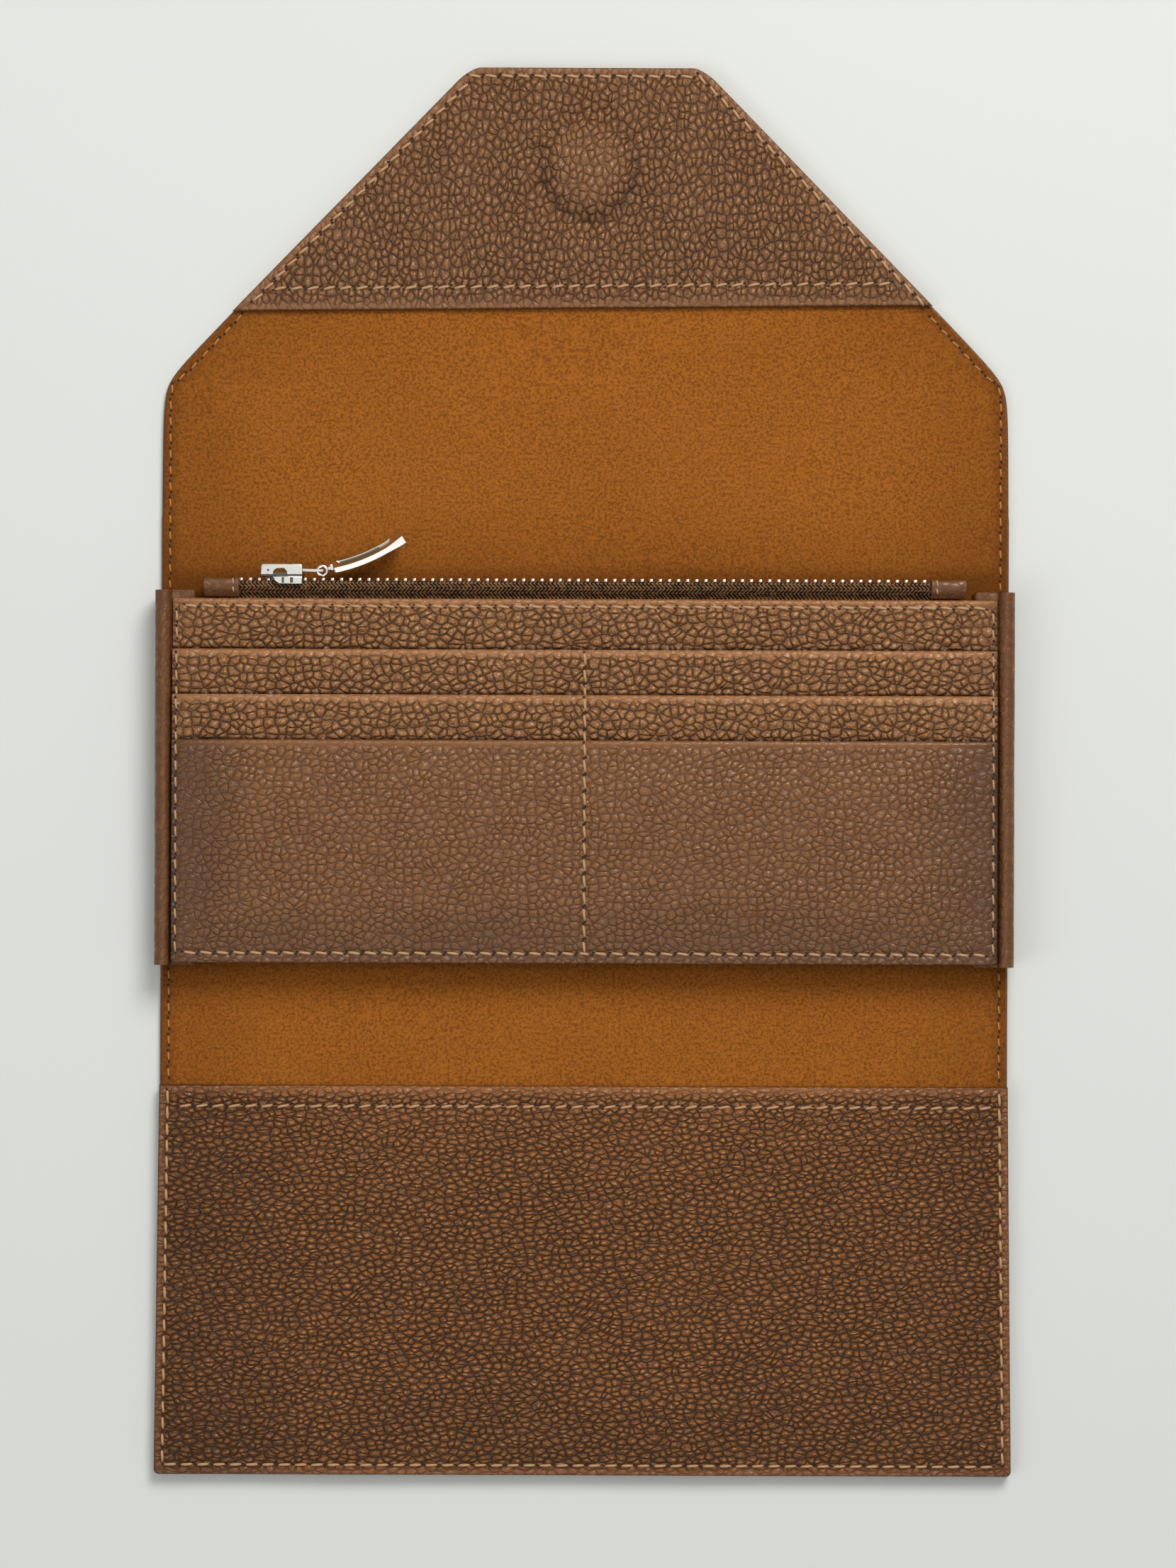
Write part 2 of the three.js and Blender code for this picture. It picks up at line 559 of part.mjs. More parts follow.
/** The pull: a bowed bar with a sunk face, a short neck, and the eye that the link runs through. */
function addPull() {
  const { eyePivot } = pullPivots();
  const eyeHalf = CROWN_WIDTH / 2;
  const start = EYE_RADIUS + NECK_LENGTH;
  const end = start + BAR_LENGTH;
  const t = BAR_THICKNESS / 2;
  const side = new THREE.Shape();
  side.moveTo(start, -t);
  side.quadraticCurveTo((start + end) / 2, -t - BAR_BOW, end, -t + BAR_BOW);
  side.lineTo(end - BAR_END_SLOPE, t + BAR_BOW);
  side.quadraticCurveTo((start + end) / 2, t - BAR_BOW, start, t);
  side.closePath();
  const smoothBar = { bevelEnabled: false, curveSegments: 8 };
  const bar = new THREE.ExtrudeGeometry(side, { ...smoothBar, depth: BAR_WIDTH });
  bar.translate(0, 0, -BAR_WIDTH / 2);
  const sunk = new THREE.Shape();
  const sunkStart = start + RECESS_NEAR_END;
  const sunkEnd = end - RECESS_FAR_END;
  const above = t + BAR_BOW + BAR_THICKNESS;
  sunk.moveTo(sunkStart, t - BAR_RECESS);
  const sunkEndHeight = t + BAR_BOW - BAR_RECESS - RECESS_BOW_LOSS;
  sunk.quadraticCurveTo((start + end) / 2, t - BAR_BOW - BAR_RECESS, sunkEnd, sunkEndHeight);
  sunk.lineTo(sunkEnd, above);
  sunk.lineTo(sunkStart, above);
  sunk.closePath();
  const sunkWidth = BAR_WIDTH - 2 * BAR_RIM;
  const recess = new THREE.ExtrudeGeometry(sunk, { ...smoothBar, depth: sunkWidth });
  recess.translate(0, 0, -sunkWidth / 2);
  const channel = cut(bar, recess);
  channel.rotateX(THREE.MathUtils.degToRad(BAR_ROLL));
  const neckHalf = NECK_THICKNESS / 2;
  const neckStart = (EYE_RADIUS + EYE_HOLE) / 2;
  const neckEnd = start + NECK_THICKNESS;
  const neck = box(neckStart, neckEnd, -neckHalf, neckHalf, -neckHalf, neckHalf);
  const eye = disc(EYE_RADIUS, 0, 0, -eyeHalf, eyeHalf, 20);
  const hole = disc(EYE_HOLE, 0, 0, -eyeHalf - WELD, eyeHalf + WELD, 12);
  const pull = join(channel, neck, cut(eye, hole));
  pull.rotateZ(THREE.MathUtils.degToRad(BAR_TILT)).translate(eyePivot.x, eyePivot.y, eyePivot.z);
  addPiece('zip_pull_bar', pull, METAL, 0.25, 1);
}

/** A thread laid on a surface along straight runs: [[x0, y0], [x1, y1], ...], closed runs given in full. */
function threadAlong(points, z) {
  const half = THREAD_WIDTH / 2;
  const left = [];
  const right = [];
  points.forEach(([x, y], i) => {
    const here = new THREE.Vector2(x, y);
    const before = new THREE.Vector2(...points[Math.max(i - 1, 0)]);
    const after = new THREE.Vector2(...points[Math.min(i + 1, points.length - 1)]);
    const into = here.clone().sub(before).normalize();
    const out = after.sub(here).normalize();
    const along = into.clone().add(out).normalize();
    const widen = i > 0 && i < points.length - 1 ? 1 / Math.max(along.dot(into), 0.5) : 1;
    const normal = new THREE.Vector2(-along.y, along.x).multiplyScalar(half * widen);
    left.push(here.clone().add(normal));
    right.push(here.clone().sub(normal));
  });
  const outline = new THREE.Shape([...left, ...right.reverse()]);
  const ribbon = new THREE.ExtrudeGeometry(outline, { depth: THREAD_HEIGHT, bevelEnabled: false });
  return ribbon.translate(0, 0, z);
}

function addThreads() {
  const facingTop = FLOOR_Z + PANEL_THICKNESS + TURNED_EDGE;
  const pocketTop = FLOOR_Z + PANEL_THICKNESS + POCKET_GAP;
  const seamHalf = (y) => halfWidthAt(y) - EDGE_SEAM * (y > SHOULDER_Y ? SEAM_SLANT : 1);
  const addThread = (name, points, z) => addPiece(name, threadAlong(points, z), THREAD, 0.8);
  const tipHalf = TIP_WIDTH / 2 - EDGE_SEAM * CORNER_INSET_SHARE;
  const facingBottom = FACING_Y + SEAM_MOUTH_GAP;
  addThread('thread_flap_edge', [
    [-seamHalf(facingBottom), facingBottom], [-tipHalf, TIP_Y - EDGE_SEAM],
    [tipHalf, TIP_Y - EDGE_SEAM], [seamHalf(facingBottom), facingBottom],
  ], facingTop);
  const hemY = FACING_Y + FACING_HEM;
  const hemHalf = seamHalf(hemY) - HEM_SEAM_INSET;
  addThread('thread_flap_hem', [[-hemHalf, hemY], [hemHalf, hemY]], facingTop);
  const shoulder = SHOULDER_Y - EDGE_SEAM * CORNER_INSET_SHARE;
  const sideX = SHELL_WIDTH / 2 - EDGE_SEAM;
  const gussetTop = SECTION_TOP + GUSSET_RISE_ABOVE_SECTION + SEAM_END_GAP;
  const gussetBottom = SECTION_BOTTOM - GUSSET_DROP_BELOW_SECTION - SEAM_END_GAP;
  for (const [word, side] of [['left', -1], ['right', 1]]) {
    const start = FACING_Y - SEAM_END_GAP;
    addThread(`thread_lining_upper_${word}`, [
      [side * seamHalf(start), start], [side * sideX, shoulder], [side * sideX, gussetTop],
    ], FLOOR_Z);
    addThread(`thread_lining_lower_${word}`, [
      [side * sideX, gussetBottom], [side * sideX, POCKET_Y + SEAM_END_GAP],
    ], FLOOR_Z);
  }
  const endX = POCKET_END_WIDTH / 2 - EDGE_SEAM;
  const endY = END_Y + BOTTOM_SEAM;
  addThread('thread_pocket_edge', [
    [-sideX, POCKET_Y - SEAM_MOUTH_GAP], [-endX, endY], [endX, endY], [sideX, POCKET_Y - SEAM_MOUTH_GAP],
  ], pocketTop);
  const pocketHemY = POCKET_Y - POCKET_HEM;
  const pocketHemHalf = sideX - HEM_SEAM_INSET;
  addThread('thread_pocket_hem', [[-pocketHemHalf, pocketHemY], [pocketHemHalf, pocketHemY]], pocketTop);
  const panelHalf = PANEL_WIDTH / 2 - SIDE_SEAM;
  const bottomY = SECTION_BOTTOM + BOTTOM_SEAM;
  const lowerMouth = SECTION_TOP - FIRST_MOUTH_DROP - (SLOT_NAMES.length - 1) * MOUTH_PITCH;
  const seamTop = lowerMouth - SEAM_MOUTH_GAP;
  addThread('thread_card_top', [
    [-panelHalf, SECTION_TOP - TOP_SEAM], [panelHalf, SECTION_TOP - TOP_SEAM],
  ], FIRST_SLOT_Z);
  addThread('thread_card_edge', [
    [-panelHalf, seamTop], [-panelHalf, bottomY], [panelHalf, bottomY], [panelHalf, seamTop],
  ], SECTION_TOP_Z);
  addThread('thread_card_divider', [[0, seamTop], [0, bottomY + THREAD_WIDTH]], SECTION_TOP_Z);
}

addShell();
addFlapFacing();
addPocket();
addGussets();
addCardPanels();
addZipTapes();
addZipTeeth();
addZipTabs();
addSlider();
addLink();
addPull();
addThreads();

export default wallet;
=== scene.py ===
"""The looks of an unfolded envelope wallet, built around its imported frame.

Lengths are millimetres until a mesh is made.
"""

import math

import bpy
import numpy as np
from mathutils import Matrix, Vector

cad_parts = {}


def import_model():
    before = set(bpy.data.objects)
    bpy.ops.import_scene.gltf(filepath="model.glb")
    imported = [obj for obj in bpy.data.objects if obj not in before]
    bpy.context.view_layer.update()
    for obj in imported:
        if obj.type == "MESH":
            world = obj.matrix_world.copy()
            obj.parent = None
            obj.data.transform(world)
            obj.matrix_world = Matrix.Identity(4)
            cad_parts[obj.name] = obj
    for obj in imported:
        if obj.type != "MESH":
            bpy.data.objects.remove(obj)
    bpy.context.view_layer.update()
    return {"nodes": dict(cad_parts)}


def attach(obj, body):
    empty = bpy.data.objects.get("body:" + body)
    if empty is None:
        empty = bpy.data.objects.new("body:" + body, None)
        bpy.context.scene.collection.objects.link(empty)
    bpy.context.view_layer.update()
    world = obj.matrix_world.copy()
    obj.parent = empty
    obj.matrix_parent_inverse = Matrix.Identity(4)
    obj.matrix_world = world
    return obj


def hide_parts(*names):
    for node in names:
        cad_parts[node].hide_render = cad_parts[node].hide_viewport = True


MM = 0.001
CAMERA_HEIGHT = 1100.0
CAMERA_AIM = (0.8, -2.85)
CAMERA_ROLL = 0.2
CAMERA_LENS = 109.6

# Plan of the wallet
LENGTH = 323.5
TIP_Y = LENGTH / 2
END_Y = -LENGTH / 2
SHELL_HALF = 97.5
END_HALF = 98.5
TIP_HALF = 26.7
TIP_RADIUS = 3.2
SHOULDER_Y = 89.15
SHOULDER_BLEND = 7.0
POCKET_Y = -72.25
FACING_Y = 106.45
FACING_SLOPE = 0.011
SECTION_TOP = 39.4
SECTION_BOTTOM = -43.9
PANEL_HALF = 94.2
MOUTHS = (27.8, 17.45, 7.1)
MAGNET_Y = 138.55

# Heights
SHELL_TOP = 1.2
FLOOR_Z = 2.0
BACK_PANEL_Z = 6.4
LEG_Z = 7.4
BASE_PANEL_Z = 8.4
FIRST_SLOT_Z = 9.4
SLOT_THICKNESS = 0.8
SECTION_TOP_Z = 11.8
FACING_TOP = 3.6
POCKET_TOP = 3.8

# Seams
EDGE_SEAM = 2.0
HEM_SEAM = 5.1
POCKET_HEM = 4.8
TOP_SEAM = 1.8
BOTTOM_SEAM = 2.3
SIDE_SEAM = 0.9
PITCH = 3.75
STITCH_LENGTH = 3.25
STITCH_SLANT = 10.0
LINING_INSET = 0.45
LINING_HALF = 97.05

# Zip: each line is the height of one half over Y, measured from the zip's middle plane
ZIP_Z = 7.9
TAPE_END = 84.0
TAPE_LINE = [(31.0, 0.25), (39.7, 0.25), (40.3, 0.62), (40.9, 1.3), (41.5, 1.98), (42.1, 2.28),
             (42.8, 2.35), (43.35, 2.3)]
TOOTH_SIZE = (0.82, 1.25, 1.85)
TOOTH_PITCH = 2.08
TOOTH_COUNT = 76
FRONT_TEETH_Y = 43.4
BACK_TEETH_Y = 42.3
TAB_OUT = 87.0
TAB_LENGTH = 8.0
TAB_LINE = [(39.7, 1.2), (40.3, 2.1), (41.1, 3.0), (42.0, 3.45), (43.0, 3.42), (43.7, 3.0), (43.95, 2.2),
            (44.0, 0.0)]

# The tape's weave, in metres
ZIGZAG = 0.0011
RIB_PITCH = 0.0009
CROSS_PITCH = 0.0007

# Slider and pull
SLIDER_X = (-73.9, -64.5)
PULL_PIVOT = (-60.1017, 45.7003)
PULL_TILT = 20.0
PULL_ROLL = 25.0
PULL_START = 2.6
PULL_LENGTH = 17.6
PULL_WIDTH = 4.4
PULL_BOW = 1.3


def noise_field(scale, seed, waves=18):
    """A smooth random field over (x, y), about -1 to 1, whose bumps are about scale across."""
    rng = np.random.default_rng(seed)
    angle = rng.uniform(0, 2 * math.pi, waves)
    size = rng.uniform(0.7, 1.5, waves) * scale * 2
    phase = rng.uniform(0, 2 * math.pi, waves)
    kx = 2 * math.pi * np.cos(angle) / size
    ky = 2 * math.pi * np.sin(angle) / size

    def field(x, y):
        total = np.zeros(np.broadcast(x, y).shape)
        for i in range(waves):
            total += np.sin(kx[i] * x + ky[i] * y + phase[i])
        return total / math.sqrt(waves)

    return field


WAVES_BROAD = noise_field(22.0, 3)
WAVES_SMALL = noise_field(5.0, 8)


def smooth_step(value, low, high):
    t = np.clip((value - low) / (high - low), 0, 1)
    return t * t * (3 - 2 * t)


def fade(value, low, high):
    return 1 - smooth_step(value, low, high)


def gauss(value, width):
    return np.exp(-((value / width) ** 2))


def shell_half(y):
    """Half the shell's width at y, with its shoulders and its tip's corners rounded."""
    y = np.asarray(y, float)
    slope = (SHELL_HALF - TIP_HALF) / (TIP_Y - SHOULDER_Y)
    upper = SHELL_HALF - slope * (y - SHOULDER_Y)
    lower = SHELL_HALF + (END_HALF - SHELL_HALF) * np.clip((POCKET_Y - y) / (POCKET_Y - END_Y), 0, 1)
    turn = SHOULDER_BLEND * slope / 2
    gap = (lower - upper) / turn
    blended = (upper + lower) / 2 - turn * np.sqrt((gap / 2) ** 2 + 0.25)
    half = np.where(y > SHOULDER_Y - 30, blended, lower)
    tip = np.clip((y - (TIP_Y - TIP_RADIUS)) / TIP_RADIUS, 0, 1)
    half = half - TIP_RADIUS * 0.75 * (1 - np.sqrt(np.clip(1 - tip**2, 0, 1)))
    foot = np.clip((END_Y + 1.2 - y) / 1.2, 0, 1)
    return half - 1.2 * (1 - np.sqrt(np.clip(1 - foot**2, 0, 1)))


def lines(low, high, step, fine=()):
    """Grid lines from low to high, step apart: close together at both ends and finer in the fine spans."""
    values = {low, high}
    for offset in (0.06, 0.16, 0.3, 0.5, 0.75):
        values.add(low + offset)
        values.add(high - offset)
    start, stop = low + 1.0, high - 1.0
    count = max(1, int(round((stop - start) / step)))
    values.update(np.linspace(start, stop, count + 1))
    for a, b, span_step in fine:
        values.update(np.linspace(a, b, max(2, int(round((b - a) / span_step)) + 1)))
    ordered = sorted(v for v in values if low <= v <= high)
    kept = [ordered[0]]
    for value in ordered[1:]:
        if value - kept[-1] > 0.035:
            kept.append(value)
    kept[-1] = high
    return np.array(kept)


def make_object(name, points, faces, material, attributes=None):
    """A mesh object from points in millimetres."""
    mesh = bpy.data.meshes.new(name)
    mesh.from_pydata((np.asarray(points, float) * MM).tolist(), [], faces)
    for key, values in (attributes or {}).items():
        layer = mesh.attributes.new(key, "FLOAT", "POINT")
        layer.data.foreach_set("value", np.asarray(values, np.float32))
    mesh.polygons.foreach_set("use_smooth", [True] * len(mesh.polygons))
    mesh.materials.append(material)
    mesh.validate()
    obj = bpy.data.objects.new(name, mesh)
    bpy.context.scene.collection.objects.link(obj)
    return obj


def place(obj, body="wallet", stands_for=()):
    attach(obj, body)
    if stands_for:
        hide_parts(*stands_for)


def plate(name, x, y, top, bottom, material, rim, shade=0.0, wear_and_highlight=0.0):
    """A closed sheet over a grid of points (x, y), between its top and bottom heights."""
    nv, nu = x.shape
    upper = np.stack([x, y, top], -1).reshape(-1, 3)
    lower = np.stack([x, y, bottom], -1).reshape(-1, 3)
    index = np.arange(nu * nv).reshape(nv, nu)
    a, b, c, d = index[:-1, :-1], index[:-1, 1:], index[1:, 1:], index[1:, :-1]
    faces = np.stack([a, b, c, d], -1).reshape(-1, 4)
    under = np.stack([a, d, c, b], -1).reshape(-1, 4) + nu * nv
    ring = np.concatenate([index[0, :], index[1:, -1], index[-1, -2::-1], index[-2:0:-1, 0]])
    following = np.roll(ring, -1)
    sides = np.stack([ring, ring + nu * nv, following + nu * nv, following], -1)
    points = np.concatenate([upper, lower])
    quads = np.concatenate([faces, under, sides]).tolist()
    attributes = {}
    # Per point: rim smooths the grain, shade is painted shade, and the last value is a painted highlight.
    for key, values in (("rim", rim), ("shade", shade), ("wear_and_highlight", wear_and_highlight)):
        attributes[key] = np.tile(np.clip(values + np.zeros(x.shape), 0, 1).reshape(-1), 2)
    return make_object(name, points, quads, material, attributes=attributes)


def grid(us, ys, half):
    """Points (x, y) over a width that changes along y. us run from -1 to 1."""
    y = np.repeat(np.asarray(ys)[:, None], len(us), 1)
    return us[None, :] * half(ys)[:, None], y


def block_row(name, centres, size, material):
    """A row of equal blocks in one mesh."""
    corners = np.array([(i, j, k) for i in (-1, 1) for j in (-1, 1) for k in (-1, 1)]) * np.array(size) / 2
    sides = [(0, 1, 3, 2), (4, 6, 7, 5), (0, 4, 5, 1), (2, 3, 7, 6), (0, 2, 6, 4), (1, 5, 7, 3)]
    points, faces = [], []
    for n, centre in enumerate(centres):
        points.extend((corners + np.array(centre)).tolist())
        faces.extend(tuple(8 * n + i for i in side) for side in sides)
    return make_object(name, points, faces, material)


def tube_faces(rings, sides, base=0, turned=False):
    """A closed tube's faces: its wall and its two ends. turned is for rings that run the other way."""
    faces = []
    for j in range(rings - 1):
        for i in range(sides):
            a = base + j * sides + i
            b = base + j * sides + (i + 1) % sides
            faces.append((a, a + sides, b + sides, b) if turned else (a, b, b + sides, a + sides))
    last = base + (rings - 1) * sides
    first_end, last_end = tuple(range(base, base + sides)), tuple(range(last, last + sides))
    return faces + ([first_end, last_end[::-1]] if turned else [first_end[::-1], last_end])


def sweep_x(name, section, xs, material):
    """A closed section of (y, z) points carried along X."""
    points = [(x, y, z) for x in xs for y, z in section]
    return make_object(name, points, tube_faces(len(xs), len(section), turned=True), material)


def sweep(name, section, ys, material, shift):
    """A closed section of (x, z) points carried along Y, with shift(i, y) added to each."""
    points = []
    for y in ys:
        for i, (x, z) in enumerate(section):
            dx, dz = shift(i, y)
            points.append((x + dx, y, z + dz))
    return make_object(name, points, tube_faces(len(ys), len(section)), material)


# Materials


def new_material(name, colour, roughness, metallic=0.0):
    material = bpy.data.materials.new(name)
    material.use_nodes = True
    shader = material.node_tree.nodes["Principled BSDF"]
    shader.inputs["Base Color"].default_value = (*colour, 1)
    shader.inputs["Roughness"].default_value = roughness
    shader.inputs["Metallic"].default_value = metallic
    material.diffuse_color = (*colour, 1)
    return material, material.node_tree, shader


def math_node(tree, operation, a, b=None, clamp=False):
    node = tree.nodes.new("ShaderNodeMath")
    node.operation = operation
    node.use_clamp = clamp
    for socket, value in zip(node.inputs, (a, b)):
        if value is None:
            continue
        if isinstance(value, (int, float)):
            socket.default_value = value
        else:
            tree.links.new(value, socket)
    return node.outputs[0]


def times(tree, a, b):
    return math_node(tree, "MULTIPLY", a, b)


def plus(tree, a, b):
    return math_node(tree, "ADD", a, b)


def map_range(tree, value, low, high, out_low=0.0, out_high=1.0):
    node = tree.nodes.new("ShaderNodeMapRange")
    node.interpolation_type = "SMOOTHSTEP"
    tree.links.new(value, node.inputs["Value"])
    sockets = ("From Min", "From Max", "To Min", "To Max")
    for socket, number in zip(sockets, (low, high, out_low, out_high)):
        node.inputs[socket].default_value = number
    return node.outputs["Result"]


def mix_colour(tree, factor, a, b):
    node = tree.nodes.new("ShaderNodeMix")
    node.data_type = "RGBA"
    tree.links.new(factor, node.inputs["Factor"])
    for socket, value in ((node.inputs[6], a), (node.inputs[7], b)):
        if isinstance(value, tuple):
            socket.default_value = (*value, 1)
        else:
            tree.links.new(value, socket)
    return node.outputs[2]


def stretched_coordinates(tree, stretch=(1, 1, 1), turn=0.0):
    coordinates = tree.nodes.new("ShaderNodeTexCoord").outputs["Object"]
    mapping = tree.nodes.new("ShaderNodeMapping")
    mapping.inputs["Scale"].default_value = stretch
    mapping.inputs["Rotation"].default_value = (0, 0, math.radians(turn))
    tree.links.new(coordinates, mapping.inputs["Vector"])
    return mapping.outputs["Vector"]


def noise(tree, vector, scale, detail=2.0, roughness=0.5, output="Fac"):
    node = tree.nodes.new("ShaderNodeTexNoise")
    node.inputs["Scale"].default_value = scale
    node.inputs["Detail"].default_value = detail
    node.inputs["Roughness"].default_value = roughness
    tree.links.new(vector, node.inputs["Vector"])
    return node.outputs[output]


def warped(tree, vector, scale, amount):
    """The coordinates pushed about by noise, so that no cell has a straight side."""
    centred = tree.nodes.new("ShaderNodeVectorMath")
    centred.operation = "MULTIPLY_ADD"
    tree.links.new(noise(tree, vector, scale, 1.0, output="Color"), centred.inputs[0])
    centred.inputs[1].default_value = (amount,) * 3
    tree.links.new(vector, centred.inputs[2])
    return centred.outputs[0]


def cells(tree, vector, scale, feature="DISTANCE_TO_EDGE", flat=False):
    node = tree.nodes.new("ShaderNodeTexVoronoi")
    node.voronoi_dimensions = "2D" if flat else "3D"
    node.feature = feature
    node.inputs["Scale"].default_value = scale
    node.inputs["Randomness"].default_value = 0.95
    if feature == "SMOOTH_F1":
        node.inputs["Smoothness"].default_value = 0.15
    tree.links.new(vector, node.inputs["Vector"])
    return node.outputs["Distance"]


def bumped(tree, shader, height, depth):
    """Relief on the shader's normal, depth millimetres for a height of one."""
    bump = tree.nodes.new("ShaderNodeBump")
    bump.inputs["Strength"].default_value = 1.0
    bump.inputs["Distance"].default_value = depth * MM
    tree.links.new(height, bump.inputs["Height"])
    tree.links.new(bump.outputs["Normal"], shader.inputs["Normal"])


def attribute(tree, name):
    node = tree.nodes.new("ShaderNodeAttribute")
    node.attribute_name = name
    return node.outputs["Fac"]


def scaled(colour, *factors):
    """A colour times one factor, or times one for each channel."""
    factors = factors if len(factors) == 3 else factors * 3
    return tuple(min(1.0, c * k) for c, k in zip(colour, factors))


def leather(name, colour, crease, cell, depth, crack=0.8, gloss=0.42, tone=1.0, stretch=(1, 1, 1), turn=0.0,
            flat=True):
    """Pebbled leather: round-topped cells parted by darker creases, finer creases within them, and pores.

    The rim value smooths it towards an edge; the shade value is painted shade, which darkens it near
    another layer and where it turns from the light; and the last value is a painted highlight, which
    lightens it.
    """
    material, tree, shader = new_material(name, colour, gloss)
    shader.inputs["Specular IOR Level"].default_value = 0.52
    shader.inputs["Specular Tint"].default_value = (1.0, 0.92, 0.84, 1)
    vector = warped(tree, stretched_coordinates(tree, stretch, turn), 300.0, 0.0011)
    vector = warped(tree, vector, 1300.0, 0.00035)
    hills = cells(tree, vector, 1000.0 / cell, "SMOOTH_F1", flat)
    edges = cells(tree, vector, 1000.0 / cell, flat=flat)
    finer = cells(tree, vector, 1900.0 / cell, flat=flat)
    patch = map_range(tree, noise(tree, vector, 130.0), 0.35, 0.65, 0.82, 1.0)
    pores = noise(tree, vector, 4500.0)
    smooth = times(tree, attribute(tree, "rim"), 0.85)
    strength = times(tree, math_node(tree, "SUBTRACT", 1.0, smooth, clamp=True), patch)
    dome = map_range(tree, hills, 0.08, 0.66, 1.0, 0.0)
    wall = map_range(tree, edges, 0.0, 0.17)
    fine_gap = map_range(tree, finer, 0.0, 0.1, 1.0, 0.0)
    height = plus(tree, times(tree, dome, 0.6), times(tree, wall, 0.4))
    height = math_node(tree, "SUBTRACT", height, times(tree, fine_gap, 0.12))
    height = plus(tree, height, times(tree, pores, 0.08))
    bumped(tree, shader, times(tree, height, strength), depth)
    broad = noise(tree, stretched_coordinates(tree), 45.0, 3.0)
    # Painted highlight on the pebbles' tops and painted shade in their hollows, as strong as tone, to show
    # their relief.
    low, high = 1 - 0.14 * tone, 1 + 0.16 * tone
    hollow = scaled(colour, low, low * 0.95, low * 0.88)
    surface = mix_colour(tree, dome, hollow, scaled(colour, high, high * 1.03, high * 1.07))
    surface = mix_colour(tree, smooth, surface, scaled(colour, 0.98, 0.92, 0.9))
    surface = mix_colour(tree, map_range(tree, broad, 0.3, 0.7, 0.0, 0.16), surface, scaled(colour, 0.78))
    # Painted highlight: a lighter, paler brown where the highlight value is set.
    surface = mix_colour(tree, attribute(tree, "wear_and_highlight"), surface, scaled(colour, 1.45, 1.5, 1.6))
    surface = mix_colour(tree, times(tree, times(tree, fine_gap, 0.4), strength), surface, crease)
    dark = times(tree, map_range(tree, edges, 0.01, 0.1, crack, 0.0), strength)
    surface = mix_colour(tree, dark, surface, crease)
    # Painted shade: towards a near-black brown where the shade value is set.
    surface = mix_colour(tree, attribute(tree, "shade"), surface, scaled(crease, 0.42, 0.3, 0.2))
    tree.links.new(surface, shader.inputs["Base Color"])
    tree.links.new(map_range(tree, dome, 0.0, 1.0, gloss + 0.18, gloss - 0.04), shader.inputs["Roughness"])
    return material


def suede(name, colour, dark):
    """Short nap: a fine mottled tooth of lighter and darker tufts, and a few dark specks."""
    material, tree, shader = new_material(name, colour, 0.95)
    vector = stretched_coordinates(tree)
    tufts = noise(tree, vector, 1400.0, 3.0, 0.8)
    fine = noise(tree, vector, 4200.0, 2.0, 0.6)
    brushed = noise(tree, vector, 330.0, 4.0, 0.6)
    broad = noise(tree, vector, 24.0)
    tone = map_range(tree, tufts, 0.42, 0.62, 0.0, 0.8)
    tone = plus(tree, tone, map_range(tree, brushed, 0.35, 0.68, 0.0, 0.08))
    tone = plus(tree, tone, map_range(tree, broad, 0.3, 0.7, 0.0, 0.12))
    surface = mix_colour(tree, tone, scaled(colour, 1.16), dark)
    surface = mix_colour(tree, map_range(tree, fine, 0.54, 0.7, 0.0, 0.45), surface, scaled(colour, 1.4))
    spots = map_range(tree, cells(tree, vector, 300.0, "F1"), 0.0, 0.13, 0.5, 0.0)
    surface = mix_colour(tree, spots, surface, scaled(dark, 0.3))
    # Darker towards the lining's sides, and painted shadow above and below the card section, from the rim
    # value.
    darkening_and_painted_shade = times(tree, attribute(tree, "rim"), 0.75)
    surface = mix_colour(tree, darkening_and_painted_shade, surface, scaled(dark, 0.62))
    tree.links.new(surface, shader.inputs["Base Color"])
    bumped(tree, shader, plus(tree, tufts, times(tree, brushed, 0.5)), 0.28)
    shader.inputs["Sheen Weight"].default_value = 0.08
    shader.inputs["Specular IOR Level"].default_value = 0.08
    return material


def woven(name, colour, light):
    """Herringbone tape: slanted ribs that turn back every few threads."""
    material, tree, shader = new_material(name, colour, 0.8)
    coordinates = tree.nodes.new("ShaderNodeTexCoord").outputs["Object"]
    split = tree.nodes.new("ShaderNodeSeparateXYZ")
    tree.links.new(coordinates, split.inputs[0])
    across = split.outputs["Y"]
    along = plus(tree, split.outputs["X"], math_node(tree, "PINGPONG", across, ZIGZAG))
    rib = math_node(tree, "SINE", times(tree, along, 2 * math.pi / RIB_PITCH))
    cross = math_node(tree, "SINE", times(tree, across, 2 * math.pi / CROSS_PITCH))
    height = plus(tree, rib, times(tree, cross, 0.45))
    uneven = noise(tree, coordinates, 900.0)
    height = plus(tree, height, map_range(tree, uneven, 0.35, 0.65, -0.5, 0.5))
    surface = mix_colour(tree, map_range(tree, height, -0.5, 0.8), colour, light)
    surface = mix_colour(tree, times(tree, attribute(tree, "shade"), 0.9), surface, scaled(colour, 0.3))
    tree.links.new(surface, shader.inputs["Base Color"])
    bumped(tree, shader, height, 0.05)
    shader.inputs["Specular IOR Level"].default_value = 0.12
    return material


def metal(name, colour, roughness):
    material, tree, shader = new_material(name, colour, roughness, 1.0)
    wear_and_highlight = noise(tree, stretched_coordinates(tree), 900.0, 3.0)
    rougher = map_range(tree, wear_and_highlight, 0.3, 0.7, roughness * 0.8, roughness * 1.4)
    tree.links.new(rougher, shader.inputs["Roughness"])
    return material


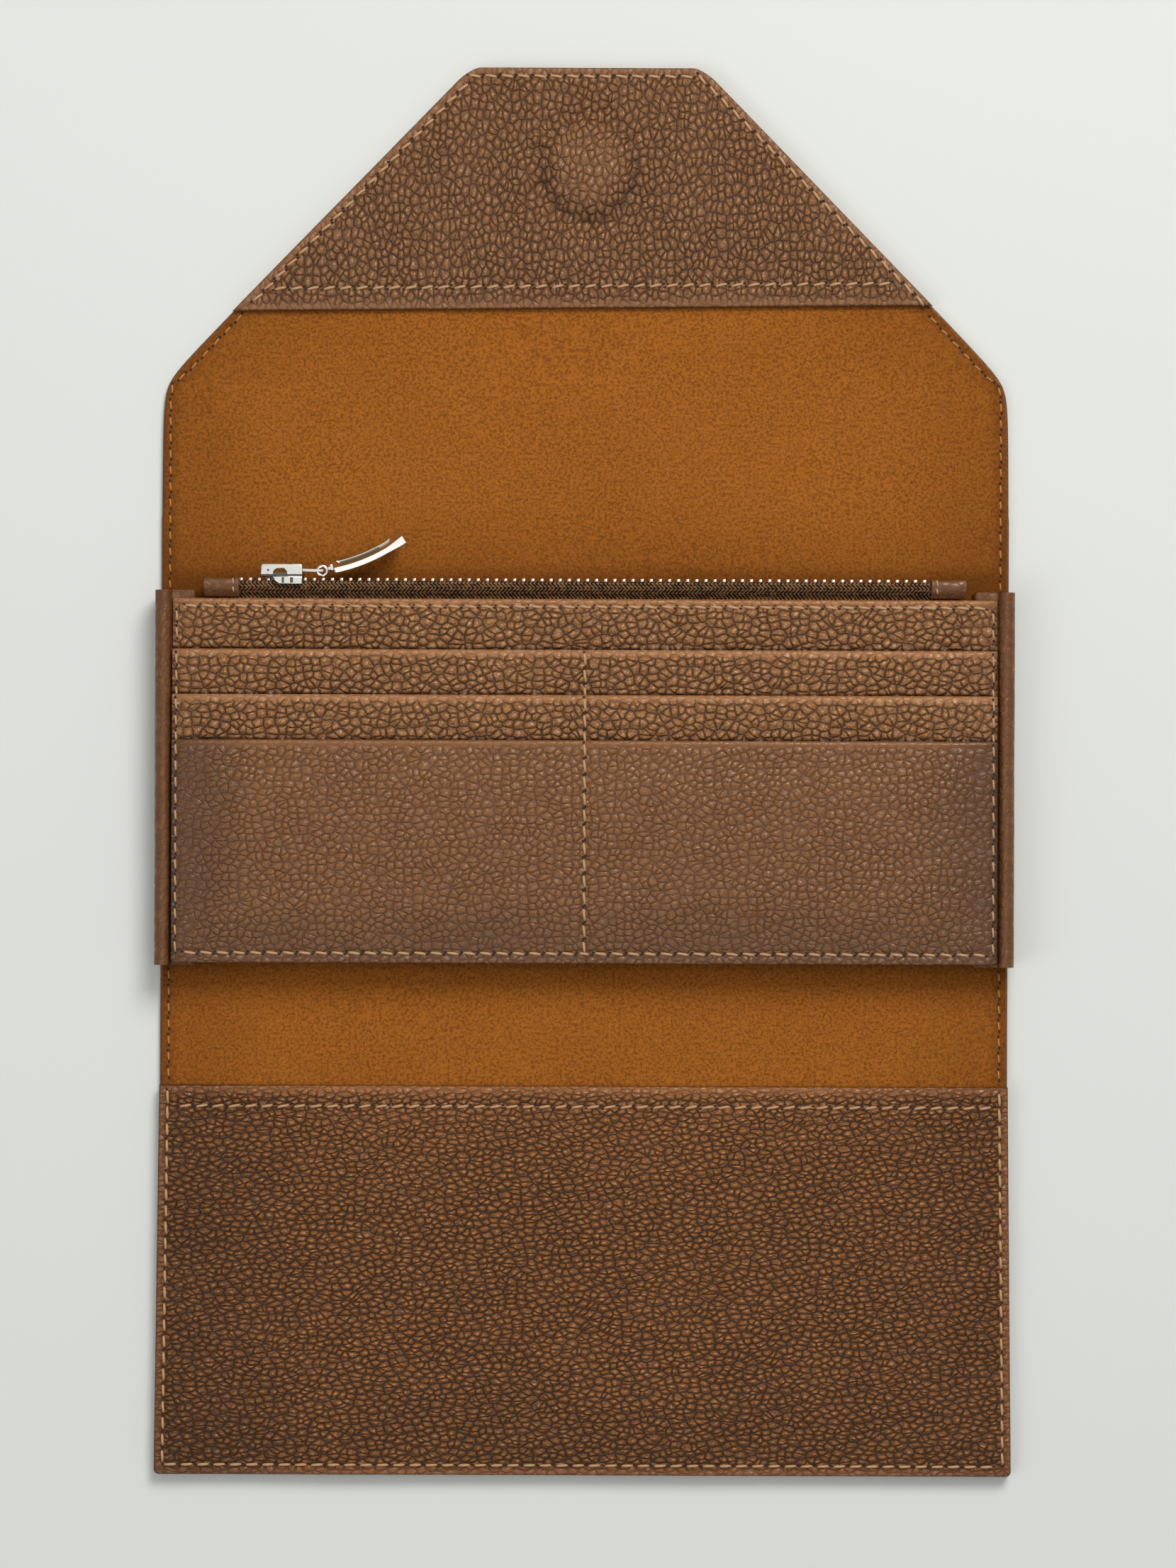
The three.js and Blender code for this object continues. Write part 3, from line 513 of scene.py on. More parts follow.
def thread_material(name, colour):
    material, tree, shader = new_material(name, colour, 0.6)
    fibre = noise(tree, stretched_coordinates(tree), 3500.0)
    surface = mix_colour(tree, fibre, scaled(colour, 0.7), scaled(colour, 1.25))
    tree.links.new(surface, shader.inputs["Base Color"])
    bumped(tree, shader, fibre, 0.04)
    return material


# Stitches


def walk(points, pitch):
    """Places and directions every pitch along a run of straight lines."""
    stops = []
    carried = pitch * 0.5
    for (x0, y0), (x1, y1) in zip(points[:-1], points[1:]):
        length = math.hypot(x1 - x0, y1 - y0)
        ux, uy = (x1 - x0) / length, (y1 - y0) / length
        while carried <= length:
            stops.append((x0 + ux * carried, y0 + uy * carried, math.atan2(uy, ux)))
            carried += pitch
        carried -= length
    return stops


def height_at(surface, x, y):
    return float(surface(np.array([x]), np.array([y]))[0])


def stitches(name, points, surface, material, pitch=PITCH, length=STITCH_LENGTH, slant=STITCH_SLANT,
             radius=0.33, lift=0.16):
    """One thread's stitches along a run of lines: each a short arch whose ends sink into the surface."""
    rings, sides = 7, 8
    verts, faces = [], []
    for x, y, angle in walk(points, pitch):
        turned = angle + math.radians(slant)
        ux, uy = math.cos(turned), math.sin(turned)
        z = height_at(surface, x, y)
        faces += tube_faces(rings, sides, len(verts))
        for i in range(rings):
            s = -1 + 2 * i / (rings - 1)
            rise = lift - (abs(s) ** 2.2) * (radius + lift)
            fat = radius * (1 - 0.55 * abs(s) ** 3)
            for j in range(sides):
                a = 2 * math.pi * j / sides
                across, up = fat * math.cos(a), fat * math.sin(a)
                px = x + ux * s * length / 2 - uy * across
                py = y + uy * s * length / 2 + ux * across
                verts.append((px, py, z + (rise + up)))
    place(make_object(name, verts, faces, material))


def holes(name, points, surface, material, length=STITCH_LENGTH, slant=STITCH_SLANT):
    """The needle holes at each stitch's ends, as shallow dimples painted dark as the shade in them."""
    sides, size = 8, 0.42
    verts, faces = [], []
    for x, y, angle in walk(points, PITCH):
        turned = angle + math.radians(slant)
        for end in (-1, 1):
            reach = end * (length / 2 + 0.12)
            cx, cy = x + math.cos(turned) * reach, y + math.sin(turned) * reach
            base = len(verts)
            verts.append((cx, cy, height_at(surface, cx, cy) + 0.07))
            for j in range(sides):
                a = 2 * math.pi * j / sides
                along, across = size * math.cos(a), size * 0.72 * math.sin(a)
                px = cx + math.cos(turned) * along - math.sin(turned) * across
                py = cy + math.sin(turned) * along + math.cos(turned) * across
                verts.append((px, py, height_at(surface, px, py) + 0.015))
                faces.append((base, base + 1 + j, base + 1 + (j + 1) % sides))
    place(make_object(name, verts, faces, material))


def edge_drop(distance, radius):
    """How far a rounded edge falls below the face, a distance in from it."""
    inside = np.clip(distance / radius, 0, 1)
    return radius * (1 - np.sqrt(np.clip(1 - (1 - inside) ** 2, 0, 1)))


def seam_dip(distance, depth=0.3, width=0.9):
    return depth * gauss(distance, width)


def side_distance(x, y):
    """Distance in from the shell's side at a point."""
    slope = (SHELL_HALF - TIP_HALF) / (TIP_Y - SHOULDER_Y)
    squeeze = np.where(np.asarray(y) > SHOULDER_Y, 1 / math.hypot(1, slope), 1.0)
    return (shell_half(y) - np.abs(x)) * squeeze


def nearer(*distances):
    """The least of several distances, softened where two are alike, so that corners come out round."""
    stack = np.stack(np.broadcast_arrays(*distances))
    return -np.log(np.sum(np.exp(-stack / 0.35), 0)) * 0.35


# The pieces


def facing_low(x):
    """The facing's lower edge, which rises a little to the right."""
    return FACING_Y + FACING_SLOPE * x


def dome_distance(x, y):
    """Distance from the middle of the bulge that the magnet makes, which is a little taller than wide."""
    return np.hypot(x - 0.6, (y - MAGNET_Y) * 0.93)


def facing_surface(x, y):
    low = facing_low(x)
    side = side_distance(x, y)
    edge = nearer(side, TIP_Y - y, y - low)
    puff = 0.25 * smooth_step(nearer(side, TIP_Y - y, y - low - HEM_SEAM), 2.0, 9.0)
    z = FACING_TOP - 0.15 + puff
    z = z - edge_drop(edge, 0.6)
    z = z - seam_dip(nearer(side, TIP_Y - y) - EDGE_SEAM, 0.26, 0.8)
    z = z - seam_dip(y - low - HEM_SEAM, 0.3, 0.9) * smooth_step(side, 0.5, 2.0)
    z = z + 0.16 * gauss(y - low - 2.6, 1.6)
    radius = dome_distance(x, y)
    angle = np.arctan2(y - MAGNET_Y, x - 0.6)
    dome = fade(radius, 6.6, 11.0)
    z = z + 1.5 * dome
    z = z - 0.3 * gauss(radius - 11.9, 1.4)
    pucker = np.sin(17 * angle + 1.3) * 0.5 + np.sin(11 * angle + 4.1) * 0.6
    pucker = pucker + np.sin(26 * angle + 2.2) * 0.35
    z = z + 0.34 * pucker * gauss(radius - 12.4, 2.8)
    z = z - 0.2 * gauss(radius - 6.6, 0.9) * dome
    return z + 0.07 * WAVES_BROAD(x, y) + 0.035 * WAVES_SMALL(x, y)


def build_facing(materials):
    us = lines(-SHELL_HALF, SHELL_HALF, 0.62) / SHELL_HALF
    ys = lines(FACING_Y, TIP_Y, 0.55, fine=[(TIP_Y - TIP_RADIUS, TIP_Y, 0.22)])
    shares = (ys - FACING_Y) / (TIP_Y - FACING_Y)
    share = np.repeat(shares[:, None], len(us), 1)
    x = us[None, :] * shell_half(np.full((len(shares), 1), FACING_Y))
    for _ in range(4):
        low = facing_low(x)
        y = low + share * (TIP_Y - low)
        x = us[None, :] * shell_half(y)
    edge = nearer(side_distance(x, y), TIP_Y - y, y - facing_low(x))
    radius = dome_distance(x, y)
    rim = 0.8 * fade(edge, 0.5, 3.2) + 0.3 * fade(radius, 5.0, 9.0)
    # Painted highlight on the dome's middle and upper side and along a band in from the edge; painted shade
    # in a ring round the dome, heavier below it, and at the outer edge.
    lit = np.hypot(x - 0.4, (y - MAGNET_Y - 2.5) * 0.9)
    under = smooth_step(MAGNET_Y + 9.0 - y, 0.0, 9.0)
    shade = (0.06 + 0.32 * under) * gauss(radius - 10.8, 1.2) + 0.5 * fade(edge, 0.0, 0.45)
    wear_and_highlight = 0.2 * fade(lit, 4.5, 9.5) + 0.2 * gauss(edge - 1.0, 0.5)
    wear_and_highlight = wear_and_highlight + 0.4 * gauss(radius - 8.6, 1.2) * smooth_step(y - MAGNET_Y - 0.4 * x, 1.0, 8.0)
    obj = plate("flap_facing_leather", x, y, facing_surface(x, y), np.full(x.shape, FLOOR_Z + 0.02),
                materials["facing"], rim, shade, wear_and_highlight)
    place(obj, stands_for=("flap_facing",))


def pocket_surface(x, y):
    side = side_distance(x, y)
    top, foot = POCKET_Y - y, y - END_Y
    edge = nearer(side, top, foot)
    puff = 0.3 * smooth_step(nearer(side, foot, top - POCKET_HEM), 2.0, 14.0)
    z = POCKET_TOP - 0.2 + puff
    z = z - edge_drop(edge, 0.65)
    z = z - seam_dip(nearer(side, foot) - EDGE_SEAM, 0.3, 0.85)
    z = z - seam_dip(top - POCKET_HEM, 0.3, 0.9) * smooth_step(side, 0.5, 2.0)
    z = z + 0.14 * gauss(top - 2.4, 1.5)
    return z + 0.1 * WAVES_BROAD(x, y) + 0.03 * WAVES_SMALL(x, y)


def build_pocket(materials):
    us = lines(-END_HALF, END_HALF, 0.8) / END_HALF
    x, y = grid(us, lines(END_Y, POCKET_Y, 0.7), shell_half)
    edge = nearer(side_distance(x, y), POCKET_Y - y, y - END_Y)
    rim = 0.85 * fade(edge, 0.6, 3.2)
    # Painted shade towards the left, right and lower sides and at the edge; a painted highlight along the
    # top.
    drift = 4.0 * WAVES_BROAD(x, y)
    shade = 0.3 * fade(x + END_HALF + drift, 0.0, 45.0) + 0.16 * fade(END_HALF - x + drift, 0.0, 40.0)
    shade = shade + 0.18 * fade(y - END_Y + drift, 0.0, 32.0) + 0.45 * fade(edge, 0.0, 0.45)
    wear_and_highlight = 0.3 * fade(POCKET_Y - y + drift, 6.0, 34.0) * smooth_step(side_distance(x, y), 2.0, 40.0)
    obj = plate("pocket_leather", x, y, pocket_surface(x, y), np.full(x.shape, FLOOR_Z + 0.02),
                materials["pocket"], rim, shade, wear_and_highlight)
    place(obj, stands_for=("pocket_panel",))


def panel_surface(mouth, z0):
    """The face of a card panel whose upper edge is at mouth: a soft roll along the mouth, flatter below."""
    lower_mouths = [m for m in MOUTHS if m < mouth]

    def surface(x, y):
        side = PANEL_HALF - np.abs(x)
        top, foot = mouth - y, y - SECTION_BOTTOM
        z = z0 - edge_drop(nearer(side + 0.4, top, foot), 0.45)
        z = z - seam_dip(side - SIDE_SEAM, 0.36, 0.9)
        z = z - seam_dip(foot - BOTTOM_SEAM, 0.32, 0.8)
        z = z + 0.22 * gauss(top - 0.8, 0.6) * smooth_step(side, 0.6, 3.0)
        z = z + 0.06 * WAVES_SMALL(x, y + mouth)
        if lower_mouths:
            share = np.clip((mouth - y) / (mouth - lower_mouths[0]), 0, 1)
            z = z + 0.5 * np.sin(math.pi * share) * smooth_step(side, 0.8, 7.0)
            z = z - 0.3 * smooth_step(share, 0.6, 1.0)
        else:
            pillow = smooth_step(nearer(side, foot, top + 2.0), 1.0, 16.0)
            z = z + 1.25 * pillow - 0.3
        if mouth >= SECTION_TOP:
            return z - seam_dip(top - TOP_SEAM, 0.36, 0.7)
        z = z - seam_dip(x, 0.34, 1.0)
        return z + 0.05 * WAVES_BROAD(x, y)
    return surface


def panel_masks(x, y, mouth, below, lowest):
    """Where a card panel is smooth, or painted with shade or highlight: at its mouth, its sides and the
    next mouth's gap.
    """
    side = PANEL_HALF - np.abs(x)
    rim = 0.9 * fade(mouth - y, 0.9, 2.4) + 0.25 * fade(side, 1.0, 10.0)
    # Painted shade: the shadow in the gap under the next mouth, along the side seams, and towards the
    # sides.
    shade = np.where(y < below, 0.0, gauss(y - below, 0.5)) + 0.45 * gauss(side, 0.6)
    shade = shade + 0.14 * fade(side, 0.0, 16.0)
    # Painted highlight along the mouth's rolled edge.
    wear_and_highlight = 0.3 * gauss(mouth - y - 0.8, 0.5)
    if lowest:
        # The lowest panel: painted shade towards its lower corners and a painted highlight over its upper
        # middle.
        corner = nearer(side, (y - SECTION_BOTTOM) * 1.4) + 3.0 * WAVES_BROAD(x, y)
        rim = rim + 0.25 * fade(corner, 0.0, 16.0)
        shade = shade + 0.34 * fade(corner, 1.0, 24.0)
        wear_and_highlight = wear_and_highlight + 0.12 * smooth_step(corner, 10.0, 24.0) * fade(mouth - y, 10.0, 32.0)
    return rim, shade, wear_and_highlight


def panel_half(y):
    return np.full(np.shape(y), PANEL_HALF)


def build_card_panels(materials):
    panels = {}
    names = [
        ("card_base_panel", SECTION_TOP, FIRST_SLOT_Z, BASE_PANEL_Z),
        ("card_slot_upper", MOUTHS[0], FIRST_SLOT_Z + SLOT_THICKNESS, FIRST_SLOT_Z),
        ("card_slot_middle", MOUTHS[1], FIRST_SLOT_Z + 2 * SLOT_THICKNESS, FIRST_SLOT_Z + SLOT_THICKNESS),
        ("card_slot_lower", MOUTHS[2], SECTION_TOP_Z, FIRST_SLOT_Z + 2 * SLOT_THICKNESS),
    ]
    for i, (name, mouth, top_z, bottom_z) in enumerate(names):
        surface = panel_surface(mouth, top_z)
        lowest = i == len(names) - 1
        shown_to = SECTION_BOTTOM if lowest else names[i + 1][1] - 2.0
        ys = lines(SECTION_BOTTOM, mouth, 0.62 if lowest else 12.0, fine=[(shown_to, mouth - 0.8, 0.55)])
        us = lines(-PANEL_HALF, PANEL_HALF, 0.7, fine=[(-2.4, 2.4, 0.3)]) / PANEL_HALF
        x, y = grid(us, ys, panel_half)
        top = surface(x, y)
        lift = 0.22 * gauss(mouth - y, 0.8) if i else 0.0
        bottom = np.minimum(bottom_z + 0.01 + lift, top - 0.3)
        below = SECTION_BOTTOM - 5 if lowest else names[i + 1][1]
        obj = plate(name + "_leather", x, y, top, bottom, materials["card" if lowest else "strip"],
                    *panel_masks(x, y, mouth, below, lowest))
        place(obj, stands_for=(name,))
        panels[name] = surface
    return panels


def build_pocket_back(materials):
    """The zip pocket's back wall, hidden under the card panels but for its edges."""
    us = lines(-PANEL_HALF, PANEL_HALF, 4.0) / PANEL_HALF
    x, y = grid(us, lines(SECTION_BOTTOM, SECTION_TOP, 4.0), panel_half)
    rounding = edge_drop(nearer(PANEL_HALF - np.abs(x), SECTION_TOP - y, y - SECTION_BOTTOM), 0.3)
    obj = plate("zip_pocket_back_leather", x, y, LEG_Z - 0.02 - rounding, BACK_PANEL_Z + rounding,
                materials["strip"], 0.0)
    place(obj, stands_for=("zip_pocket_back",))


def catmull(points, steps):
    """A smooth curve through points of a plane."""
    pts = [np.array(p, float) for p in points]
    pts = [2 * pts[0] - pts[1]] + pts + [2 * pts[-1] - pts[-2]]
    out = []
    for i in range(1, len(pts) - 2):
        p0, p1, p2, p3 = pts[i - 1], pts[i], pts[i + 1], pts[i + 2]
        for k in range(steps):
            t = k / steps
            out.append(0.5 * (2 * p1 + (p2 - p0) * t + (2 * p0 - 5 * p1 + 4 * p2 - p3) * t**2
                              + (3 * p1 - p0 - 3 * p2 + p3) * t**3))
    out.append(pts[-2])
    return np.array(out)


def thickened(line, half):
    """The outline of a strip that lies half to each side of a line."""
    tangent = np.gradient(line, axis=0)
    tangent /= np.linalg.norm(tangent, axis=1)[:, None]
    normal = np.stack([-tangent[:, 1], tangent[:, 0]], -1)
    return np.concatenate([line + normal * half, (line - normal * half)[::-1]])


def build_gussets(materials):
    seam, out, t = PANEL_HALF, END_HALF, 0.5
    leg_z, floor_z = LEG_Z + t, FLOOR_Z + t
    bead = leg_z + 2.2
    section = thickened(catmull([
        (seam - 5, leg_z), (seam - 0.4, leg_z), (seam + 0.75, leg_z + 0.6), (seam + 1.1, bead - 0.6),
        (seam + 2.1, bead), (out - t - 0.35, bead - 1), (out - t - 0.05, (bead + floor_z) / 2),
        (out - t - 0.4, floor_z + 1), (seam + 1.4, floor_z), (seam - 5, floor_z),
    ], 5), t - 0.03)
    ys = lines(SECTION_BOTTOM - 0.6, SECTION_TOP + 1.8, 1.1)
    for word, side, seed in (("right", 1, 21), ("left", -1, 22)):
        phase = np.random.default_rng(seed).uniform(0, 6.28, 4)

        def shift(i, y, phase=phase):
            x, z = section[i]
            weight = float(smooth_step(x, seam + 0.8, seam + 2.5) * smooth_step(z, floor_z + 1, bead))
            ripple = math.sin(y / 5.3 + phase[0]) * 0.5 + math.sin(y / 2.1 + phase[1]) * 0.3
            ripple = ripple + math.sin(y / 11 + phase[2])
            return -0.04 * abs(ripple) * weight, 0.1 * ripple * weight

        obj = sweep("gusset_%s_leather" % word, section, ys, materials["gusset"], shift)
        if side < 0:
            for vertex in obj.data.vertices:
                vertex.co.x = -vertex.co.x
            obj.data.flip_normals()
        place(obj, stands_for=("gusset_%s" % word,))


def shell_underside(x, y):
    """The wallet's outer face, with the seams' channels pressed into it."""
    side = side_distance(x, y)
    z = edge_drop(nearer(side, TIP_Y - y, y - END_Y), 0.5)
    return z + 0.5 * gauss(nearer(side, TIP_Y - y, y - END_Y - 0.3) - EDGE_SEAM, 0.55)


def build_shell(materials):
    near_edge = SHELL_HALF - 5
    dense = [(-SHELL_HALF, -near_edge, 0.3), (near_edge, SHELL_HALF, 0.3)]
    us = lines(-SHELL_HALF, SHELL_HALF, 4.0, fine=dense) / SHELL_HALF
    ys = lines(END_Y, TIP_Y, 1.3, fine=[(END_Y, END_Y + 4.5, 0.3), (TIP_Y - 4.5, TIP_Y, 0.25)])
    x, y = grid(us, ys, shell_half)
    edge = nearer(side_distance(x, y), TIP_Y - y, y - END_Y)
    obj = plate("outer_shell_leather", x, y, SHELL_TOP - edge_drop(edge, 0.3), shell_underside(x, y),
                materials["shell"], 0.9 * fade(edge, 0.4, 2.6))
    place(obj, stands_for=("outer_shell",))


def lining_surface(x, y):
    side = side_distance(x, y)
    seam = seam_dip(side - EDGE_SEAM, 0.22, 0.8)
    edge = edge_drop(side - LINING_INSET, 0.35)
    raised = 0.1 + 0.1 * WAVES_BROAD(x * 0.6, y * 0.9) + 0.015 * WAVES_SMALL(x, y)
    covered = np.maximum(smooth_step(y, FACING_Y - 6, FACING_Y), smooth_step(-y, -POCKET_Y - 5, -POCKET_Y))
    under_section = smooth_step(y, SECTION_BOTTOM - 4, SECTION_BOTTOM)
    under_section = under_section * fade(y, SECTION_TOP, SECTION_TOP + 4)
    free = smooth_step(side, 2.0, 9.0) * (1 - np.maximum(covered, under_section))
    return FLOOR_Z - 0.01 + raised * free - seam * (1 - covered) - edge


def lining_half(y):
    return shell_half(y) - LINING_INSET * np.where(y > SHOULDER_Y, 1.4, 1.0)


def build_lining(materials):
    dense = [(-LINING_HALF, -92.5, 0.5), (92.5, LINING_HALF, 0.5)]
    us = lines(-LINING_HALF, LINING_HALF, 2.2, fine=dense) / LINING_HALF
    shown = [(SECTION_TOP - 6, FACING_Y + 2, 0.9), (POCKET_Y - 2, SECTION_BOTTOM + 6, 0.9)]
    x, y = grid(us, lines(END_Y + LINING_INSET, TIP_Y - LINING_INSET, 6.0, fine=shown), lining_half)
    side = side_distance(x, y)
    # Darker towards the sides, and painted shadow above and below the card section; both go in as the rim
    # value, which the suede paints darker.
    edge = 0.45 * fade(side, 1.2, 5.0) + 0.3 * fade(side, 4.0, 30.0)
    above = 0.6 * fade(y - SECTION_TOP, 3.0, 9.0) + 0.3 * fade(y - SECTION_TOP, 5.0, 26.0)
    above = above * smooth_step(y, 30.0, SECTION_TOP)
    below = 0.5 * fade(SECTION_BOTTOM - y, 0.2, 3.0) * smooth_step(-y, 30.0, -SECTION_BOTTOM)
    obj = plate("lining_suede", x, y, lining_surface(x, y), np.full(x.shape, SHELL_TOP + 0.01),
                materials["suede"], edge + np.maximum(above, below))
    place(obj, stands_for=("lining",))


def build_zip(materials):
    """The tapes with their edges turned up, the rows of teeth, and the tabs folded over the ends."""
    strip = thickened(catmull(TAPE_LINE, 4), 0.21)
    first = -(TOOTH_COUNT - 1) * TOOTH_PITCH / 2
    tape_xs = np.linspace(-TAPE_END, TAPE_END, 60)
    for word, side, row_y in (("front", 1, FRONT_TEETH_Y), ("back", -1, BACK_TEETH_Y)):
        section = [(y, ZIP_Z + side * z) for y, z in strip][::-side]
        tape = sweep_x("zip_tape_%s_weave" % word, section, tape_xs, materials["tape"])
        place(tape, stands_for=("zip_tape_%s" % word,))
        xs = [first + (i - 0.25 * side) * TOOTH_PITCH for i in range(TOOTH_COUNT)]
        centres = [(x, row_y, ZIP_Z + side * 1.42) for x in xs]
        teeth = block_row("zip_teeth_%s_row" % word, centres, TOOTH_SIZE, materials["teeth"])
        soften(teeth, 0.15)
        place(teeth, stands_for=("zip_teeth_%s" % word,))
    outline = catmull(TAB_LINE, 3)
    section = [(y, ZIP_Z + z) for y, z in outline] + [(y, ZIP_Z - z) for y, z in outline[-2::-1]]

    def tab_face(x, y):
        return ZIP_Z + np.interp(y, outline[:, 0], outline[:, 1])

    for word, x0, seam in (("left", -TAB_OUT, TAB_LENGTH - 1.3), ("right", TAB_OUT - TAB_LENGTH, 1.3)):
        xs = [x0 + TAB_LENGTH * k for k in (0.0, 0.03, 0.25, 0.5, 0.75, 0.97, 1.0)]
        tab = sweep_x("zip_tab_%s_leather" % word, section, xs, materials["gusset"])
        soften(tab, 0.3, 3)
        place(tab, stands_for=("zip_tab_%s" % word,))
        stitches("stitches_zip_tab_%s" % word, [(x0 + seam, 40.6), (x0 + seam, 43.6)], tab_face,
                 materials["thread"], pitch=1.7, length=1.5, slant=8, radius=0.22)


def sew(name, points, surface, materials, **options):
    """A seam's stitches and their needle holes."""
    thread = materials["lining_thread" if name.startswith("lining") else "thread"]
    stitches("stitches_" + name, points, surface, thread, **options)
    kept = {k: options[k] for k in ("length", "slant") if k in options}
    holes("needle_holes_" + name, points, surface, materials["hole"], **kept)


def flap_seam_x(y):
    return float(shell_half(y)) - EDGE_SEAM * 1.4


def sew_flap(materials):
    tip = TIP_HALF - EDGE_SEAM * 0.45
    foot_y = FACING_Y + 0.9
    foot_x, hem_x = flap_seam_x(foot_y), flap_seam_x(FACING_Y + HEM_SEAM) - 0.6
    edge = [(-foot_x, foot_y), (-tip, TIP_Y - EDGE_SEAM), (tip, TIP_Y - EDGE_SEAM), (foot_x, foot_y + 1.0)]
    sew("flap_edge", edge, facing_surface, materials, slant=-9)
    hem = [(x, facing_low(x) + HEM_SEAM) for x in (-hem_x, hem_x)]
    sew("flap_hem", hem, facing_surface, materials, slant=12)


def sew_lining(materials):
    x = SHELL_HALF - EDGE_SEAM
    start_y, turn_y = FACING_Y - 1.0, SHOULDER_Y + 3.5
    upper = [(flap_seam_x(start_y), start_y), (flap_seam_x(turn_y), turn_y), (x - 0.5, SHOULDER_Y - 0.5),
             (x, SHOULDER_Y - 4.0), (x, SECTION_TOP + 2.4)]
    lower = [(x, SECTION_BOTTOM - 1.2), (x, POCKET_Y + 0.6)]
    for word, side in (("left", -1), ("right", 1)):
        for part, points in (("upper", upper), ("lower", lower)):
            seam = [(side * px, y) for px, y in points]
            sew("lining_%s_%s" % (part, word), seam, lining_surface, materials,
                length=2.3, radius=0.22, lift=0.06, slant=6)


def sew_pocket(materials):
    side_x, end_x, end_y = SHELL_HALF - EDGE_SEAM, END_HALF - EDGE_SEAM, END_Y + BOTTOM_SEAM
    for word, side in (("left", -1), ("right", 1)):
        seam = [(side * side_x, POCKET_Y - 0.9), (side * end_x, end_y + 0.8)]
        sew("pocket_" + word, seam, pocket_surface, materials, slant=4)
    sew("pocket_bottom", [(-end_x, end_y), (end_x, end_y)], pocket_surface, materials, slant=3)
    hem = [(x, POCKET_Y - POCKET_HEM) for x in (-side_x + 2.2, side_x - 2.2)]
    sew("pocket_hem", hem, pocket_surface, materials, slant=10)


def sew_cards(panels, materials):
    x = PANEL_HALF - SIDE_SEAM
    base, lowest = panels["card_base_panel"], panels["card_slot_lower"]
    high, low = SECTION_TOP - TOP_SEAM, SECTION_BOTTOM + BOTTOM_SEAM
    sew("card_top", [(-x + 1.5, high), (x - 1.5, high)], base, materials, slant=-8)
    sew("card_bottom", [(-x + 1.5, low), (x - 1.5, low)], lowest, materials, slant=-8)
    strips = [
        ("base", base, high, MOUTHS[0]),
        ("upper", panels["card_slot_upper"], MOUTHS[0], MOUTHS[1]),
        ("middle", panels["card_slot_middle"], MOUTHS[1], MOUTHS[2]),
        ("lower", lowest, MOUTHS[2], low),
    ]
    for word, side in (("left", -1), ("right", 1)):
        for part, surface, top, foot in strips:
            sew("card_%s_%s" % (part, word), [(side * x, top - 0.4), (side * x, foot + 0.4)], surface,
                materials, slant=5, length=2.7, radius=0.26)
    for part, surface, top, foot in strips[1:]:
        seam = [(0.0, top - 0.3), (0.0, foot + 0.4)]
        sew("card_%s_divider" % part, seam, surface, materials, slant=7)


def spare_threads():
    """The continuous threads of the frame, which the stitches stand for."""
    seams = {seam: seam for seam in ("flap_edge", "flap_hem", "lining_upper_left", "lining_upper_right",
                                     "lining_lower_left", "lining_lower_right", "pocket_hem", "card_top")}
    seams.update(pocket_bottom="pocket_edge", card_bottom="card_edge", card_lower_divider="card_divider")
    for seam, thread in seams.items():
        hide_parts("thread_" + thread)


def soften(obj, width, segments=2):
    bevel = obj.modifiers.new("soft edges", "BEVEL")
    bevel.width = width * MM
    bevel.segments = segments
    bevel.limit_method = "ANGLE"
    bevel.angle_limit = math.radians(35)
    obj.data.polygons.foreach_set("use_smooth", [True] * len(obj.data.polygons))
    weighted = obj.modifiers.new("even shading", "WEIGHTED_NORMAL")
    weighted.keep_sharp = True


def cut_plate(name, rings, low, high, material, rounding):
    """A flat piece between two heights: the first ring of points is its outline, the rest are its holes."""
    curve = bpy.data.curves.new(name, "CURVE")
    curve.dimensions = "2D"
    curve.fill_mode = "BOTH"
    curve.extrude = (high - low) / 2 - rounding
    curve.bevel_depth = rounding
    curve.bevel_resolution = 2
    curve.offset = -rounding
    for ring in rings:
        spline = curve.splines.new("POLY")
        spline.points.add(len(ring) - 1)
        for point, (x, y) in zip(spline.points, ring):
            point.co = (x, y, 0, 1)
        spline.use_cyclic_u = True
    holder = bpy.data.objects.new(name + "_outline", curve)
    bpy.context.scene.collection.objects.link(holder)
    bpy.context.view_layer.update()
    mesh = holder.evaluated_get(bpy.context.evaluated_depsgraph_get()).to_mesh()
    points = [(v.co.x, v.co.y, v.co.z + (low + high) / 2) for v in mesh.vertices]
    faces = [tuple(polygon.vertices) for polygon in mesh.polygons]
    bpy.data.objects.remove(holder)
    obj = make_object(name, points, faces, material)
    weld = obj.modifiers.new("one skin", "WELD")
    weld.merge_threshold = 0.00001
    return obj


def ring_points(x, y, radius, count=28):
    angles = np.linspace(0, 2 * math.pi, count, endpoint=False)
    return [(x + radius * math.cos(a), y + radius * math.sin(a)) for a in angles]


def corner_points(x0, y0, x1, y1, radius, count=5):
    """A rectangle with rounded corners."""
    points = []
    for cx, cy, start in ((x1, y1, 0), (x0, y1, 90), (x0, y0, 180), (x1, y0, 270)):
        ox = cx - math.copysign(radius, cx - (x0 + x1) / 2)
        oy = cy - math.copysign(radius, cy - (y0 + y1) / 2)
        for k in range(count):
            a = math.radians(start + 90 * k / (count - 1))
            points.append((ox + radius * math.cos(a), oy + radius * math.sin(a)))
    return points


